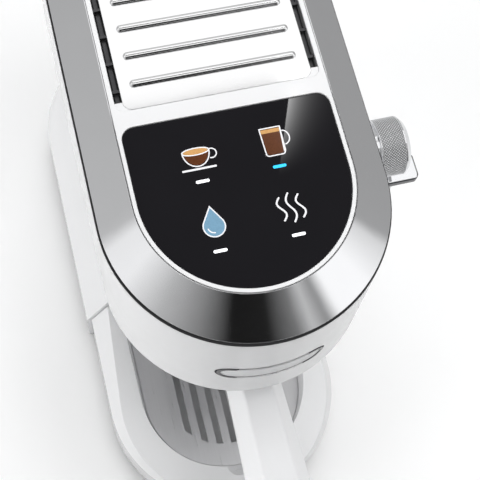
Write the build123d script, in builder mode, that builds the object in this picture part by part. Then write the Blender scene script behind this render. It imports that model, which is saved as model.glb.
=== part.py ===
"""Slim pump espresso machine: touch panel, cup warmer, steam wand, bayonet filter holder, rear tank.

Millimetres, +Z up, front towards -Y. The origin is the middle of the base's footprint on the floor.
"""

import os
from math import cos, radians, sin, tan

from build123d import *

os.makedirs("parts", exist_ok=True)

# Overall sizes
machine_height = 305
base_width = 149
base_depth = 330

# Clearances
slide_gap = 0.3
fit_gap = 0.2
run_gap = 0.05

# Feet, base plate and base housing
foot_height = 4
foot_radius = 9
foot_stem_radius = 3
front_foot_x = 44
front_foot_inset = 41
rear_foot_x = 48
rear_foot_inset = 53
plate_thickness = 3
plate_inset = 2.5
plate_front_inset = 6
base_band_top = 40
base_top = 70
base_wall = 3
base_rear_flat = 8.5
screw_radius = 2
screw_head_radius = 4
screw_head_height = 1.6
screw_length = 16
boss_radius = 5
screw_front_inset = 13
screw_rear_inset = 81
screw_spread = 47

# Column, tank bay and head
column_width = 120
column_front_y = -31
column_front_radius = 6
column_wall = 2.5
bay_wall_y = 82
head_width = 130
head_height = 71.5
head_top_drop = 12
head_wall = 2.5
group_axis_y = -69
head_lean = 3.5
head_edge = 1.5
duct_half_width = 50
duct_margin = 10
post_radius = 4.5
post_x = 40
post_front_y = -30
post_rear_inset = 7

# Chrome bevel trim, top frame, touch panel and cup warmer
seam = 1
seal_inset = 0.1
seal_width = 2.3
trim_inset = 0.9
trim_lip = 1.6
trim_sheet = 1.8
trim_edge = 0.4
panel_axis_y = -62
panel_radius = 46.7
panel_rear_y = -26.2
panel_corner = 6
panel_glass_thickness = 2
panel_set_back = 0.6
panel_rim = 1.9
frame_thickness = 7.5
cup_half_width = 42.6
cup_slot = 3.6
cup_front_y = -18
cup_rear_y = 76
cup_corner = 4
cup_recess = 5
cup_sheet = 1.5
cup_set_back = 0.4
rib_length = 75.4
rib_width = 3.4
rib_height = 1.6
rib_pitch = 13.9
rib_count = 6
rib_first = 12.1
bridge_width = 1.4
bridge_lead = 1.5
board_thickness = 1.6
board_drop = 5
board_half_width = 34
board_front_y = -94
board_rear_y = -32
standoff_radius = 2.5
standoff_inset = 5
key_half_spread = 17
key_rows_y = (-57, -89)
key_light_length = 6
key_light_width = 1.4

# Badge plate on the head's front
badge_width = 50
badge_height = 13.5
badge_rise = 31.2
badge_depth = 0.8
badge_proud = 0.3
badge_gap = 0.6
badge_rim = 1.5
badge_field_depth = 0.35

# Group head, gasket and shower screen
collar_radius = 42
collar_height = 14.5
group_hole_radius = 35
group_block_height = 22
lug_reach = 33.6
neck_radius = 29.8
ledge_gap = 0.7
ledge_height = 4
lug_height = 4.2
lug_half_angle = 22
ledge_angles = (-26, 34)
gasket_inner = 25.3
gasket_outer = 32.2
gasket_drop = 1.8
gasket_height = 7.5
shower_radius = 24
shower_thickness = 1.2
shower_screw_radius = 4
shower_screw_height = 2

# Filter holder
rim_drop = 2.1
holder_radius = 32.5
holder_drop = 49.5
holder_floor = 5
holder_head_gap = 1.5
bowl_radius = 27.4
drain_radius = 22
drain_height = 34
drain_hole_radius = 4
basket_radius = 26.6
basket_wall = 0.9
basket_depth = 24
basket_rim_radius = 29.3
spout_bar_length = 36
spout_bar_width = 13
spout_bar_height = 12
nozzle_spread = 11.5
nozzle_length = 20
nozzle_radius = 5.5
nozzle_bore = 3.5
nozzle_tip_radius = 4.5
handle_rise = 11
stem_radius = 9
stem_end_y = -113
stud_radius = 4
stud_length = 40
handle_collar_radius = 12
handle_collar_length = 5
handle_end_y = -234
handle_neck_width = 27.4
handle_end_width = 35.6
handle_neck_height = 23
handle_end_height = 27
handle_edge = 2.5
handle_end_round = 6

# Drip tray, grid and float
tray_side_inset = 2.9
tray_front_height = 42
tray_back_height = 63
tray_rim_width = 3
tray_wall = 2.6
tray_slope_width = 4.2
tray_slope_drop = 3
tray_floor = 3.6
grid_thickness = 2.4
grid_ledge = 3.5
bowl_wall = 3
tray_back_wall = 3
tray_back_channel = 3.5
notch_width = 17
notch_reach = 14
grid_slot_width = 4
grid_slot_count = 7
grid_border = 14
float_wall_gap = 2.8
float_angle = 32
float_stem_radius = 4.5
float_disc_radius = 8.5
float_disc_height = 5
float_hole_gap = 0.8
float_hole_border = 4

# Water tank, lid, valve and seat
tank_bay_gap = 2
tank_rear_inset = 13
tank_rear_radius = 38
tank_front_radius = 5
tank_wall = 2.2
tank_floor = 3
tank_lift_gap = 0.4
tank_rim_drop = 1
valve_rear_inset = 34
valve_radius = 7.6
valve_flange_radius = 11
valve_flange_height = 2
valve_reach = 8
seat_radius = 13
seat_flange_radius = 17
seat_flange_height = 3
seat_depth = 15
seat_socket_depth = 10
nipple_radius = 4
nipple_length = 9
lid_overhang = 2
lid_wall = 2.4
lid_round_low = 42
lid_round_high = 28
lid_hinge_pin_radius = 1.25
lid_knuckle_radius = 3
lid_knuckle_width = 18
lid_ear_width = 5
lid_ear_drop = 9

# Steam knob and valve
knob_y = -40
knob_rise = 37.5
knob_radius = 14.2
knob_neck_radius = 13
knob_neck_length = 6.4
knob_length = 14.9
knob_chamfer = 2.2
knob_dish_radius = 10
knob_dish_depth = 0.8
collar_flange_radius = 12
collar_flange_length = 1.9
collar_sleeve_radius = 6
spindle_radius = 3
spindle_in_knob = 12
valve_body_radius = 10
valve_body_length = 16
valve_stem_bore = 10

# Steam wand
hub_length = 34.5
hub_width = 14.6
hub_y = -44
hub_rise = 16.5
hub_plate = 4
hub_corner = 3
hub_port_drop = 8
wand_pivot_from_wall = 14
wand_pivot_drop = 10
wand_eye_radius = 5.5
wand_eye_width = 7.8
cheek_width = 3
cheek_overlap = 6.5
wand_pin_radius = 2
wand_tube_radius = 3.5
wand_tube_length = 104
wand_grip_radius = 7
wand_grip_length = 44
wand_grip_start = 24
wand_tip_radius = 5.5
wand_tip_length = 16
wand_tip_overlap = 5

# Pump, thermoblock, boards and pipes
bracket_half_width = 25
bracket_x = -20
bracket_y = 24
bracket_thickness = 3
bracket_height = 130
bracket_foot = 15
pump_y = 2
pump_radius = 15.8
pump_rise = 23
pump_length = 78
pump_coil_width = 42
pump_coil_depth = 36
pump_coil_length = 52
pump_nipple_radius = 5
pump_nipple_length = 5
pump_mount_height = 8
pump_mount_half_width = 20
pump_mount_front = 17
meter_x = 18
meter_y = 60
meter_radius = 15
meter_height = 22
block_width = 72
block_depth = 66
block_height = 24
block_fin_count = 5
block_fin_width = 3
block_fin_depth = 5
hose_radius = 4
pipe_radius = 3
hose_bend = 7
pipe_bend = 5
power_board_width = 40
power_board_height = 90
power_board_rise = 25
power_board_standoff = 6

# Cord gland and power switch
gland_z = 22
gland_radius = 6.5
gland_flange_radius = 9
gland_flange_length = 2.5
gland_length = 8
gland_bore = 3.6
switch_y = 55
switch_z = 24
bezel_length = 25
bezel_width = 16
bezel_wall = 1.6
bezel_flange = 1.4
bezel_rim = 2.4
bezel_depth = 13
rocker_radius = 9
rocker_set_back = 2
rocker_pivot_depth = 6
rocker_tilt = 16
rocker_back = 3
rocker_pin_radius = 1

# Derived places
front_y = -base_depth / 2
rear_y = base_depth / 2
half_base = base_width / 2
half_column = column_width / 2
half_head = head_width / 2
base_rear_radius = half_base - base_rear_flat
housing_bottom = foot_height + plate_thickness
skirt_inset = half_base - half_column
tray_radius = half_base - tray_side_inset
tray_crown_radius = tray_radius - skirt_inset
tray_rim_radius = tray_crown_radius - tray_rim_width
grid_radius = tray_rim_radius - tray_slope_width
tray_axis_y = front_y + tray_radius
tray_bottom = housing_bottom + slide_gap
tray_back_y = column_front_y - slide_gap
tank_rear_y = rear_y - tank_rear_inset
valve_y = tank_rear_y - valve_rear_inset
trim_axis_y = group_axis_y + head_lean
head_top = machine_height - head_top_drop
head_bottom = head_top - head_height
badge_z = head_bottom + badge_rise
knob_z = head_bottom + knob_rise
hub_top = head_bottom + hub_rise
holder_bottom = head_bottom - holder_drop
drain_top = holder_bottom + drain_height
handle_z = holder_bottom + handle_rise
tank_rim_z = head_top - tank_rim_drop
pump_bottom = base_top + pump_rise
power_board_bottom = base_top + power_board_rise
frame_half = panel_radius + panel_rim - fit_gap
frame_bottom = machine_height - frame_thickness
head_floor_top = head_bottom + head_wall
hub_port_z = hub_top - hub_port_drop


def front_plane(y, z):
    """Upright plane that faces the front, with its origin at the given depth and height."""
    return Plane(origin=(0, y, z), x_dir=(1, 0, 0), z_dir=(0, -1, 0))


def arch_face(half_width, arc_y, flat_y):
    """D-shaped face: a half circle about arc_y, with straight sides to flat_y."""
    bulge_y = arc_y - half_width if flat_y > arc_y else arc_y + half_width
    with BuildSketch() as face:
        with BuildLine():
            Line((-half_width, flat_y), (-half_width, arc_y))
            ThreePointArc((-half_width, arc_y), (0, bulge_y), (half_width, arc_y))
            Line((half_width, arc_y), (half_width, flat_y))
            Line((half_width, flat_y), (-half_width, flat_y))
        make_face()
    return face.sketch


def round_face(half_width, low_y, high_y, high_radius, low_radius=0):
    """Rectangle from low_y to high_y with its two high corners rounded, and its low ones if asked."""
    with BuildSketch() as face:
        with Locations((0, (low_y + high_y) / 2)):
            Rectangle(2 * half_width, high_y - low_y)
        fillet(face.vertices().group_by(Axis.Y)[-1], high_radius)
        if low_radius:
            fillet(face.vertices().group_by(Axis.Y)[0], low_radius)
    return face.sketch


def sector_face(inner, outer, start, end):
    """Ring sector about the sketch's origin, from the start to the end angle in degrees."""
    with BuildSketch() as face:
        with BuildLine():
            low = CenterArc((0, 0), inner, start, end - start)
            high = CenterArc((0, 0), outer, start, end - start)
            Line(low @ 0, high @ 0)
            Line(low @ 1, high @ 1)
        make_face()
    return face.sketch


def save(piece, name):
    """Label a finished piece and write its STEP file."""
    piece.label = name
    export_step(piece, f"parts/{name}.step")


def tube(name, points, radius, bend):
    """Round pipe along straight runs with rounded corners."""
    with BuildPart() as pipe:
        with BuildLine() as route:
            FilletPolyline(*points, radius=bend)
        with BuildSketch(Plane(origin=route.line @ 0, z_dir=route.line % 0)):
            Circle(radius)
        sweep()
    save(pipe.part, name)


# Base plate: the floor of the housing, with a tongue under the drip tray
screw_rows_y = (column_front_y + screw_front_inset, rear_y - screw_rear_inset)
front_foot = (front_foot_x, front_y + front_foot_inset)
rear_foot = (rear_foot_x, rear_y - rear_foot_inset)
screw_points = [(side * screw_spread, y) for y in screw_rows_y for side in (-1, 1)]
foot_points = [(side * x, y) for x, y in (front_foot, rear_foot) for side in (-1, 1)]
tongue_radius = tray_radius - plate_front_inset
plate_rear = round_face(
    half_base - plate_inset, column_front_y, rear_y - plate_inset, base_rear_radius - plate_inset
)
plate_tongue = arch_face(tongue_radius, tray_axis_y, column_front_y)
with BuildPart() as base_plate:
    with BuildSketch(Plane.XY.offset(foot_height)):
        add(plate_rear)
        add(plate_tongue)
        with Locations(*foot_points):
            Circle(foot_stem_radius + run_gap, mode=Mode.SUBTRACT)
        with Locations(*screw_points):
            Circle(screw_radius + fit_gap, mode=Mode.SUBTRACT)
    extrude(amount=plate_thickness)
    with BuildSketch(Plane.XY.offset(foot_height)):
        with Locations(*screw_points):
            Circle(screw_head_radius + fit_gap)
    extrude(amount=screw_head_height, mode=Mode.SUBTRACT)
save(base_plate.part, "base_plate")

# Rubber feet: a pad with a stem in the base plate
with BuildPart() as rubber_feet:
    with BuildSketch():
        with Locations(*foot_points):
            Circle(foot_radius)
    extrude(amount=foot_height)
    chamfer(rubber_feet.faces().sort_by(Axis.Z)[:4].edges(), foot_height / 8)
    with BuildSketch(Plane.XY.offset(foot_height)):
        with Locations(*foot_points):
            Circle(foot_stem_radius)
    extrude(amount=plate_thickness)
save(rubber_feet.part, "rubber_feet")

# Base screws: through the plate into the housing's bosses
with BuildPart() as base_screws:
    with BuildSketch(Plane.XY.offset(foot_height)):
        with Locations(*screw_points):
            Circle(screw_head_radius)
    extrude(amount=screw_head_height)
    with BuildSketch(Plane.XY.offset(foot_height)):
        with Locations(*screw_points):
            Circle(screw_radius)
    extrude(amount=screw_length)
save(base_screws.part, "base_screws")

# Base housing: upright band below, flared skirt up to the column
base_outline = round_face(half_base, column_front_y, rear_y, base_rear_radius)
base_crown = round_face(half_column, column_front_y, tank_rear_y, tank_rear_radius)
base_hollow = round_face(
    half_base - base_wall, column_front_y + base_wall, rear_y - base_wall, base_rear_radius - base_wall
)
crown_hollow = round_face(
    half_column - base_wall, column_front_y + base_wall, tank_rear_y - base_wall, tank_rear_radius - base_wall
)
deck_bottom = base_top - base_wall
with BuildPart() as base_housing:
    with BuildSketch(Plane.XY.offset(housing_bottom)):
        add(base_outline)
    extrude(amount=base_band_top - housing_bottom)
    with BuildSketch(Plane.XY.offset(base_band_top)):
        add(base_outline)
    with BuildSketch(Plane.XY.offset(base_top)):
        add(base_crown)
    loft(ruled=True)
    with BuildSketch(Plane.XY.offset(housing_bottom)):
        add(base_hollow)
    extrude(amount=base_band_top - housing_bottom, mode=Mode.SUBTRACT)
    with BuildSketch(Plane.XY.offset(base_band_top)):
        add(base_hollow)
    with BuildSketch(Plane.XY.offset(deck_bottom)):
        add(crown_hollow)
    loft(ruled=True, mode=Mode.SUBTRACT)
    with BuildSketch(Plane.XY.offset(housing_bottom)):
        with Locations(*screw_points):
            Circle(boss_radius)
    extrude(amount=deck_bottom - housing_bottom)
    with BuildSketch(Plane.XY.offset(housing_bottom)):
        with Locations(*screw_points):
            Circle(screw_radius + run_gap)
    extrude(amount=screw_length, mode=Mode.SUBTRACT)
    with BuildSketch(Plane.XY.offset(deck_bottom)):
        with Locations((0, valve_y)):
            Circle(seat_radius + run_gap)
        with Locations((meter_x, meter_y)):
            Circle(hose_radius + fit_gap)
    extrude(amount=base_wall, mode=Mode.SUBTRACT)
    with BuildSketch(Plane.XZ.offset(-rear_y)):
        with Locations((0, gland_z)):
            Circle(gland_radius + run_gap)
    extrude(amount=base_wall, mode=Mode.SUBTRACT)
    with BuildSketch(Plane.YZ.offset(half_base)):
        with Locations((switch_y, switch_z)):
            Rectangle(bezel_length - 2 * bezel_rim + fit_gap, bezel_width - 2 * bezel_rim + fit_gap)
    extrude(amount=-base_wall, mode=Mode.SUBTRACT)
save(base_housing.part, "base_housing")

# Cord gland: a flanged bush in the rear wall
with BuildPart() as cord_gland:
    with BuildSketch(Plane.XZ.offset(-rear_y)):
        with Locations((0, gland_z)):
            Circle(gland_flange_radius)
    extrude(amount=-gland_flange_length)
    fillet(cord_gland.edges().sort_by(Axis.Y)[-1], gland_flange_length / 2)
    with BuildSketch(Plane.XZ.offset(-rear_y)):
        with Locations((0, gland_z)):
            Circle(gland_radius)
    extrude(amount=gland_length)
    with BuildSketch(Plane.XZ.offset(-rear_y - gland_flange_length)):
        with Locations((0, gland_z)):
            Circle(gland_bore)
    extrude(amount=gland_length + gland_flange_length, mode=Mode.SUBTRACT)
save(cord_gland.part, "cord_gland")

# Power switch: a boxed bezel in the right flank, with a two-faced rocker
bezel_face_x = half_base + bezel_flange
pocket_length = bezel_length - 2 * bezel_rim - 2 * bezel_wall
pocket_width = bezel_width - 2 * bezel_rim - 2 * bezel_wall
rocker_pivot_x = bezel_face_x - rocker_pivot_depth
with BuildPart() as switch_bezel:
    with BuildSketch(Plane.YZ.offset(half_base)):
        with Locations((switch_y, switch_z)):
            RectangleRounded(bezel_length, bezel_width, bezel_rim)
    extrude(amount=bezel_flange)
    with BuildSketch(Plane.YZ.offset(half_base)):
        with Locations((switch_y, switch_z)):
            Rectangle(bezel_length - 2 * bezel_rim, bezel_width - 2 * bezel_rim)
    extrude(amount=bezel_flange - bezel_depth)
    with BuildSketch(Plane.YZ.offset(bezel_face_x)):
        with Locations((switch_y, switch_z)):
            Rectangle(pocket_length, pocket_width)
    extrude(amount=bezel_wall - bezel_depth, mode=Mode.SUBTRACT)
    with BuildSketch(Plane.XY.offset(switch_z - bezel_width / 2)):
        with Locations((rocker_pivot_x, switch_y)):
            Circle(rocker_pin_radius + run_gap)
    extrude(amount=bezel_width, mode=Mode.SUBTRACT)
save(switch_bezel.part, "switch_bezel")

rocker_face_x = bezel_face_x - rocker_set_back
rocker_half_width = pocket_width / 2 - slide_gap
rocker_reach = pocket_length / 2 - slide_gap
with BuildPart() as power_rocker:
    with BuildSketch(Plane.XY.offset(switch_z - rocker_half_width)):
        with Locations((rocker_pivot_x, switch_y)):
            Circle(min(rocker_radius, rocker_reach))
        with Locations((rocker_face_x + bezel_length / 2, switch_y - bezel_length / 2)):
            Rectangle(bezel_length, bezel_length, mode=Mode.SUBTRACT)
        with BuildLine():
            Polyline(
                (rocker_face_x, switch_y),
                (rocker_face_x + bezel_length * tan(radians(rocker_tilt)), switch_y + bezel_length),
                (rocker_face_x + bezel_length, switch_y + bezel_length),
                (rocker_face_x + bezel_length, switch_y),
                close=True,
            )
        make_face(mode=Mode.SUBTRACT)
        with Locations((rocker_pivot_x - rocker_back - bezel_length / 2, switch_y)):
            Rectangle(bezel_length, bezel_length, mode=Mode.SUBTRACT)
    extrude(amount=2 * rocker_half_width)
    with BuildSketch(Plane.XY.offset(switch_z - pocket_width / 2 - bezel_wall)):
        with Locations((rocker_pivot_x, switch_y)):
            Circle(rocker_pin_radius)
    extrude(amount=pocket_width + 2 * bezel_wall)
save(power_rocker.part, "power_rocker")

# Column shell: upright box from the base's deck to the head
with BuildPart() as column_shell:
    with BuildSketch(Plane.XY.offset(base_top)):
        with Locations((0, (column_front_y + bay_wall_y) / 2)):
            Rectangle(column_width, bay_wall_y - column_front_y)
    extrude(amount=head_bottom - base_top)
    fillet(column_shell.edges().filter_by(Axis.Z).group_by(Axis.Y)[0], column_front_radius)
    offset(
        amount=-column_wall,
        openings=column_shell.faces().filter_by(Axis.Z),
    )
save(column_shell.part, "column_shell")

# Head shell: hollow overhang with a rounded front that leans out towards its lower edge
head_low = arch_face(half_head, group_axis_y, bay_wall_y)
head_high = arch_face(half_head, trim_axis_y, bay_wall_y)
head_low_hollow = arch_face(half_head - head_wall, group_axis_y, bay_wall_y - head_wall)
head_high_hollow = arch_face(half_head - head_wall, trim_axis_y, bay_wall_y - head_wall)
badge_back_low = arch_face(half_head - badge_depth, group_axis_y, bay_wall_y)
badge_back_high = arch_face(half_head - badge_depth, trim_axis_y, bay_wall_y)
badge_face_low = arch_face(half_head + badge_proud, group_axis_y, bay_wall_y)
badge_face_high = arch_face(half_head + badge_proud, trim_axis_y, bay_wall_y)
badge_field_reach = half_head + badge_proud - badge_field_depth
badge_field_low = arch_face(badge_field_reach, group_axis_y, bay_wall_y)
badge_field_high = arch_face(badge_field_reach, trim_axis_y, bay_wall_y)
badge_plane = front_plane(group_axis_y, badge_z)
post_rows_y = (post_front_y, bay_wall_y - post_rear_inset)
post_points = [(side * post_x, y) for y in post_rows_y for side in (-1, 1)]
with BuildPart() as badge_seat:
    with BuildSketch(badge_plane):
        SlotOverall(badge_width + 2 * badge_gap, badge_height + 2 * badge_gap)
    extrude(amount=head_width)
    with BuildSketch(Plane.XY.offset(head_bottom)):
        add(badge_back_low)
    with BuildSketch(Plane.XY.offset(head_top)):
        add(badge_back_high)
    loft(ruled=True, mode=Mode.SUBTRACT)

with BuildPart() as badge_field:
    with BuildSketch(badge_plane):
        SlotOverall(badge_width - 2 * badge_rim, badge_height - 2 * badge_rim)
    extrude(amount=head_width)
    with BuildSketch(Plane.XY.offset(head_bottom)):
        add(badge_field_low)
    with BuildSketch(Plane.XY.offset(head_top)):
        add(badge_field_high)
    loft(ruled=True, mode=Mode.SUBTRACT)

with BuildPart() as head_shell:
    with BuildSketch(Plane.XY.offset(head_bottom)):
        add(head_low)
    with BuildSketch(Plane.XY.offset(head_top)):
        add(head_high)
    loft(ruled=True)
    fillet(head_shell.faces().sort_by(Axis.Z)[0].edges().sort_by(Axis.Y)[:-1], head_edge)
    with BuildSketch(Plane.XY.offset(head_floor_top)):
        add(head_low_hollow)
    with BuildSketch(Plane.XY.offset(head_top)):
        add(head_high_hollow)
    loft(ruled=True, mode=Mode.SUBTRACT)
    with BuildSketch(Plane.XY.offset(head_bottom)):
        with Locations((0, group_axis_y)):
            Circle(group_hole_radius)
        duct_front = group_axis_y + collar_radius + column_wall
        duct_rear = bay_wall_y - duct_margin
        with Locations((0, (duct_front + duct_rear) / 2)):
            Rectangle(2 * duct_half_width, duct_rear - duct_front)
    extrude(amount=head_wall, mode=Mode.SUBTRACT)
    with BuildSketch(Plane.XY.offset(head_bottom)):
        with Locations(*post_points):
            Circle(post_radius)
    extrude(amount=frame_bottom - head_bottom)
    add(badge_seat.part, mode=Mode.SUBTRACT)
    with BuildSketch(Plane.YZ.offset(half_head)):
        with Locations((knob_y, knob_z)):
            Circle(collar_sleeve_radius + run_gap)
        with Locations((knob_y, hub_port_z)):
            Circle(pipe_radius + fit_gap)
    extrude(amount=-head_wall, mode=Mode.SUBTRACT)
save(head_shell.part, "head_shell")

# Badge plate: a bare curved round-ended plate with a raised rim, in its seat
with BuildPart() as badge_plate:
    with BuildSketch(Plane.XY.offset(head_bottom)):
        add(badge_face_low)
    with BuildSketch(Plane.XY.offset(head_top)):
        add(badge_face_high)
    loft(ruled=True)
    with BuildSketch(Plane.XY.offset(head_bottom)):
        add(badge_back_low)
    with BuildSketch(Plane.XY.offset(head_top)):
        add(badge_back_high)
    loft(ruled=True, mode=Mode.SUBTRACT)
    with BuildSketch(badge_plane):
        SlotOverall(badge_width, badge_height)
    extrude(amount=head_width, mode=Mode.INTERSECT)
    add(badge_field.part, mode=Mode.SUBTRACT)
save(badge_plate.part, "badge_plate")

# Chrome trim: a sloping U-shaped band with an upright lip
trim_bottom = head_top + seam
trim_shoulder = trim_bottom + trim_lip
trim_inner = panel_radius + panel_rim
trim_half = half_head - trim_inset
trim_low = arch_face(trim_half, trim_axis_y, bay_wall_y)
trim_high = arch_face(trim_inner + trim_edge, panel_axis_y, bay_wall_y)
trim_low_hollow = arch_face(trim_half - trim_sheet, trim_axis_y, bay_wall_y - trim_sheet)
trim_high_hollow = arch_face(trim_inner - trim_sheet, panel_axis_y, bay_wall_y - trim_sheet)
trim_opening = arch_face(trim_inner, panel_axis_y, bay_wall_y)
with BuildPart() as chrome_trim:
    with BuildSketch(Plane.XY.offset(trim_bottom)):
        add(trim_low)
    extrude(amount=trim_lip)
    with BuildSketch(Plane.XY.offset(trim_shoulder)):
        add(trim_low)
    with BuildSketch(Plane.XY.offset(machine_height)):
        add(trim_high)
    loft(ruled=True)
    with BuildSketch(Plane.XY.offset(trim_bottom)):
        add(trim_low_hollow)
    extrude(amount=trim_lip, mode=Mode.SUBTRACT)
    with BuildSketch(Plane.XY.offset(trim_shoulder)):
        add(trim_low_hollow)
    with BuildSketch(Plane.XY.offset(machine_height - trim_sheet)):
        add(trim_high_hollow)
    loft(ruled=True, mode=Mode.SUBTRACT)
    with BuildSketch(Plane.XY.offset(trim_bottom)):
        add(trim_opening)
    extrude(amount=machine_height - trim_bottom, mode=Mode.SUBTRACT)
save(chrome_trim.part, "chrome_trim")

# Trim seal: a dark strip in the seam between the head and the trim
seal_outer = half_head - seal_inset
seal_rear_y = bay_wall_y - seal_inset
with BuildPart() as trim_seal:
    with BuildSketch(Plane.XY.offset(head_top)):
        add(arch_face(seal_outer, trim_axis_y, seal_rear_y))
        add(arch_face(seal_outer - seal_width, trim_axis_y, seal_rear_y - seal_width), mode=Mode.SUBTRACT)
    extrude(amount=seam)
save(trim_seal.part, "trim_seal")

# Top frame: white deck with a seat for the panel and a tray for the cup warmer
glass_top = machine_height - panel_set_back
glass_bottom = glass_top - panel_glass_thickness
frame_outline = arch_face(frame_half, panel_axis_y, bay_wall_y)
panel_seat = arch_face(panel_radius, panel_axis_y, panel_rear_y)
cup_tray_half = cup_half_width + cup_slot
cup_tray_front = cup_front_y - slide_gap
cup_tray_rear = cup_rear_y + slide_gap
cup_tray = round_face(cup_tray_half, cup_tray_front, cup_tray_rear, cup_corner, cup_corner)
board_top = frame_bottom - board_drop
key_points = [(side * key_half_spread, y) for y in key_rows_y for side in (-1, 1)]
standoff_points = [
    (side * (board_half_width - standoff_inset), y)
    for y in (board_front_y + standoff_inset, board_rear_y - standoff_inset)
    for side in (-1, 1)
]
with BuildPart() as top_frame:
    with BuildSketch(Plane.XY.offset(frame_bottom)):
        add(frame_outline)
    extrude(amount=frame_thickness)
    with BuildSketch(Plane.XY.offset(glass_bottom)) as seat:
        add(panel_seat)
        fillet(seat.vertices().group_by(Axis.Y)[-1], panel_corner)
    extrude(amount=machine_height - glass_bottom, mode=Mode.SUBTRACT)
    with BuildSketch(Plane.XY.offset(machine_height - cup_recess)):
        add(cup_tray)
    extrude(amount=cup_recess, mode=Mode.SUBTRACT)
    with BuildSketch(Plane.XY.offset(frame_bottom)):
        with Locations(*key_points):
            Rectangle(key_light_length + 2 * fit_gap, key_light_width + 2 * fit_gap)
    extrude(amount=glass_bottom - frame_bottom, mode=Mode.SUBTRACT)
    with BuildSketch(Plane.XY.offset(board_top)):
        with Locations(*standoff_points):
            Circle(standoff_radius)
    extrude(amount=board_drop)
save(top_frame.part, "top_frame")

# Touch panel glass
with BuildPart() as panel_glass:
    with BuildSketch(Plane.XY.offset(glass_bottom)) as pane:
        add(arch_face(panel_radius - fit_gap, panel_axis_y, panel_rear_y - fit_gap))
        fillet(pane.vertices().group_by(Axis.Y)[-1], panel_corner - fit_gap)
    extrude(amount=panel_glass_thickness)
save(panel_glass.part, "panel_glass")

# Control board under the panel, and the light guides that stand on it
with BuildPart() as control_board:
    with BuildSketch(Plane.XY.offset(board_top - board_thickness)):
        with Locations((0, (board_front_y + board_rear_y) / 2)):
            RectangleRounded(2 * board_half_width, board_rear_y - board_front_y, standoff_inset / 2)
    extrude(amount=board_thickness)
save(control_board.part, "control_board")

with BuildPart() as light_guides:
    with BuildSketch(Plane.XY.offset(board_top)):
        with Locations(*key_points):
            Rectangle(key_light_length, key_light_width)
    extrude(amount=glass_bottom - board_top)
save(light_guides.part, "light_guides")

# Cup-warmer plate: a pressed sheet with a folded skirt, round-ended ribs and side bridges
cup_top = machine_height - cup_set_back
cup_bottom = machine_height - cup_recess
rib_rows_y = [cup_front_y + rib_first + i * rib_pitch for i in range(rib_count)]
cup_plan = round_face(cup_half_width, cup_front_y, cup_rear_y, cup_corner, cup_corner)
cup_hollow = round_face(
    cup_half_width - cup_sheet, cup_front_y + cup_sheet, cup_rear_y - cup_sheet,
    cup_corner - cup_sheet, cup_corner - cup_sheet,
)
with BuildPart() as cup_plate:
    with BuildSketch(Plane.XY.offset(cup_bottom)):
        add(cup_plan)
    extrude(amount=cup_top - cup_bottom)
    with BuildSketch(Plane.XY.offset(cup_bottom)):
        add(cup_hollow)
    extrude(amount=cup_top - cup_bottom - cup_sheet, mode=Mode.SUBTRACT)
    with BuildSketch(Plane.XY.offset(cup_top)):
        with Locations(*[(0, y) for y in rib_rows_y]):
            SlotOverall(rib_length, rib_width)
    extrude(amount=rib_height)
    fillet(cup_plate.faces().group_by(Axis.Z)[-1].edges(), min(rib_height, rib_width / 2) * 0.85)
    with BuildSketch(Plane.XY.offset(cup_top - 2 * cup_sheet)):
        bridge_reach = cup_half_width + (cup_slot - fit_gap) / 2 - cup_sheet / 2
        with Locations(*[(side * bridge_reach, y - bridge_lead) for y in rib_rows_y for side in (-1, 1)]):
            Rectangle(cup_slot - fit_gap + cup_sheet, bridge_width)
    extrude(amount=cup_sheet)
save(cup_plate.part, "cup_plate")

# Group head: bayonet collar with two ledges, gasket groove and a block above
collar_top = head_floor_top + collar_height
block_bottom = collar_top + group_block_height
with BuildPart() as group_head:
    with BuildSketch(Plane.XY.offset(head_floor_top)):
        with Locations((0, group_axis_y)):
            Circle(collar_radius)
            Circle(lug_reach + 2 * fit_gap, mode=Mode.SUBTRACT)
    extrude(amount=collar_height)
    with BuildSketch(Plane.XY.offset(head_floor_top)):
        with Locations((0, group_axis_y)):
            for half_turn in (0, 180):
                add(
                    sector_face(
                        neck_radius + ledge_gap,
                        lug_reach + ledge_gap,
                        ledge_angles[0] + half_turn,
                        ledge_angles[1] + half_turn,
                    )
                )
    extrude(amount=ledge_height)
    with BuildSketch(Plane.XY.offset(collar_top)):
        with Locations((0, group_axis_y)):
            Circle(collar_radius)
    extrude(amount=group_block_height)
    with BuildSketch(Plane.XY.offset(collar_top)):
        with Locations((0, group_axis_y)):
            Circle(gasket_outer + fit_gap)
            Circle(gasket_inner - fit_gap, mode=Mode.SUBTRACT)
    extrude(amount=gasket_height - gasket_drop, mode=Mode.SUBTRACT)
    with BuildSketch(Plane.XY.offset(collar_top)):
        with Locations((0, group_axis_y)):
            Circle(shower_screw_radius / 2)
    extrude(amount=group_block_height / 2, mode=Mode.SUBTRACT)
save(group_head.part, "group_head")

with BuildPart() as group_gasket:
    with BuildSketch(Plane.XY.offset(collar_top - gasket_drop)):
        with Locations((0, group_axis_y)):
            Circle(gasket_outer)
            Circle(gasket_inner, mode=Mode.SUBTRACT)
    extrude(amount=gasket_height)
save(group_gasket.part, "group_gasket")

with BuildPart() as shower_screen:
    with BuildSketch(Plane.XY.offset(collar_top - shower_thickness)):
        with Locations((0, group_axis_y)):
            Circle(shower_radius)
            Circle(shower_screw_radius / 2 + fit_gap, mode=Mode.SUBTRACT)
    extrude(amount=shower_thickness)
save(shower_screen.part, "shower_screen")

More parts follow.
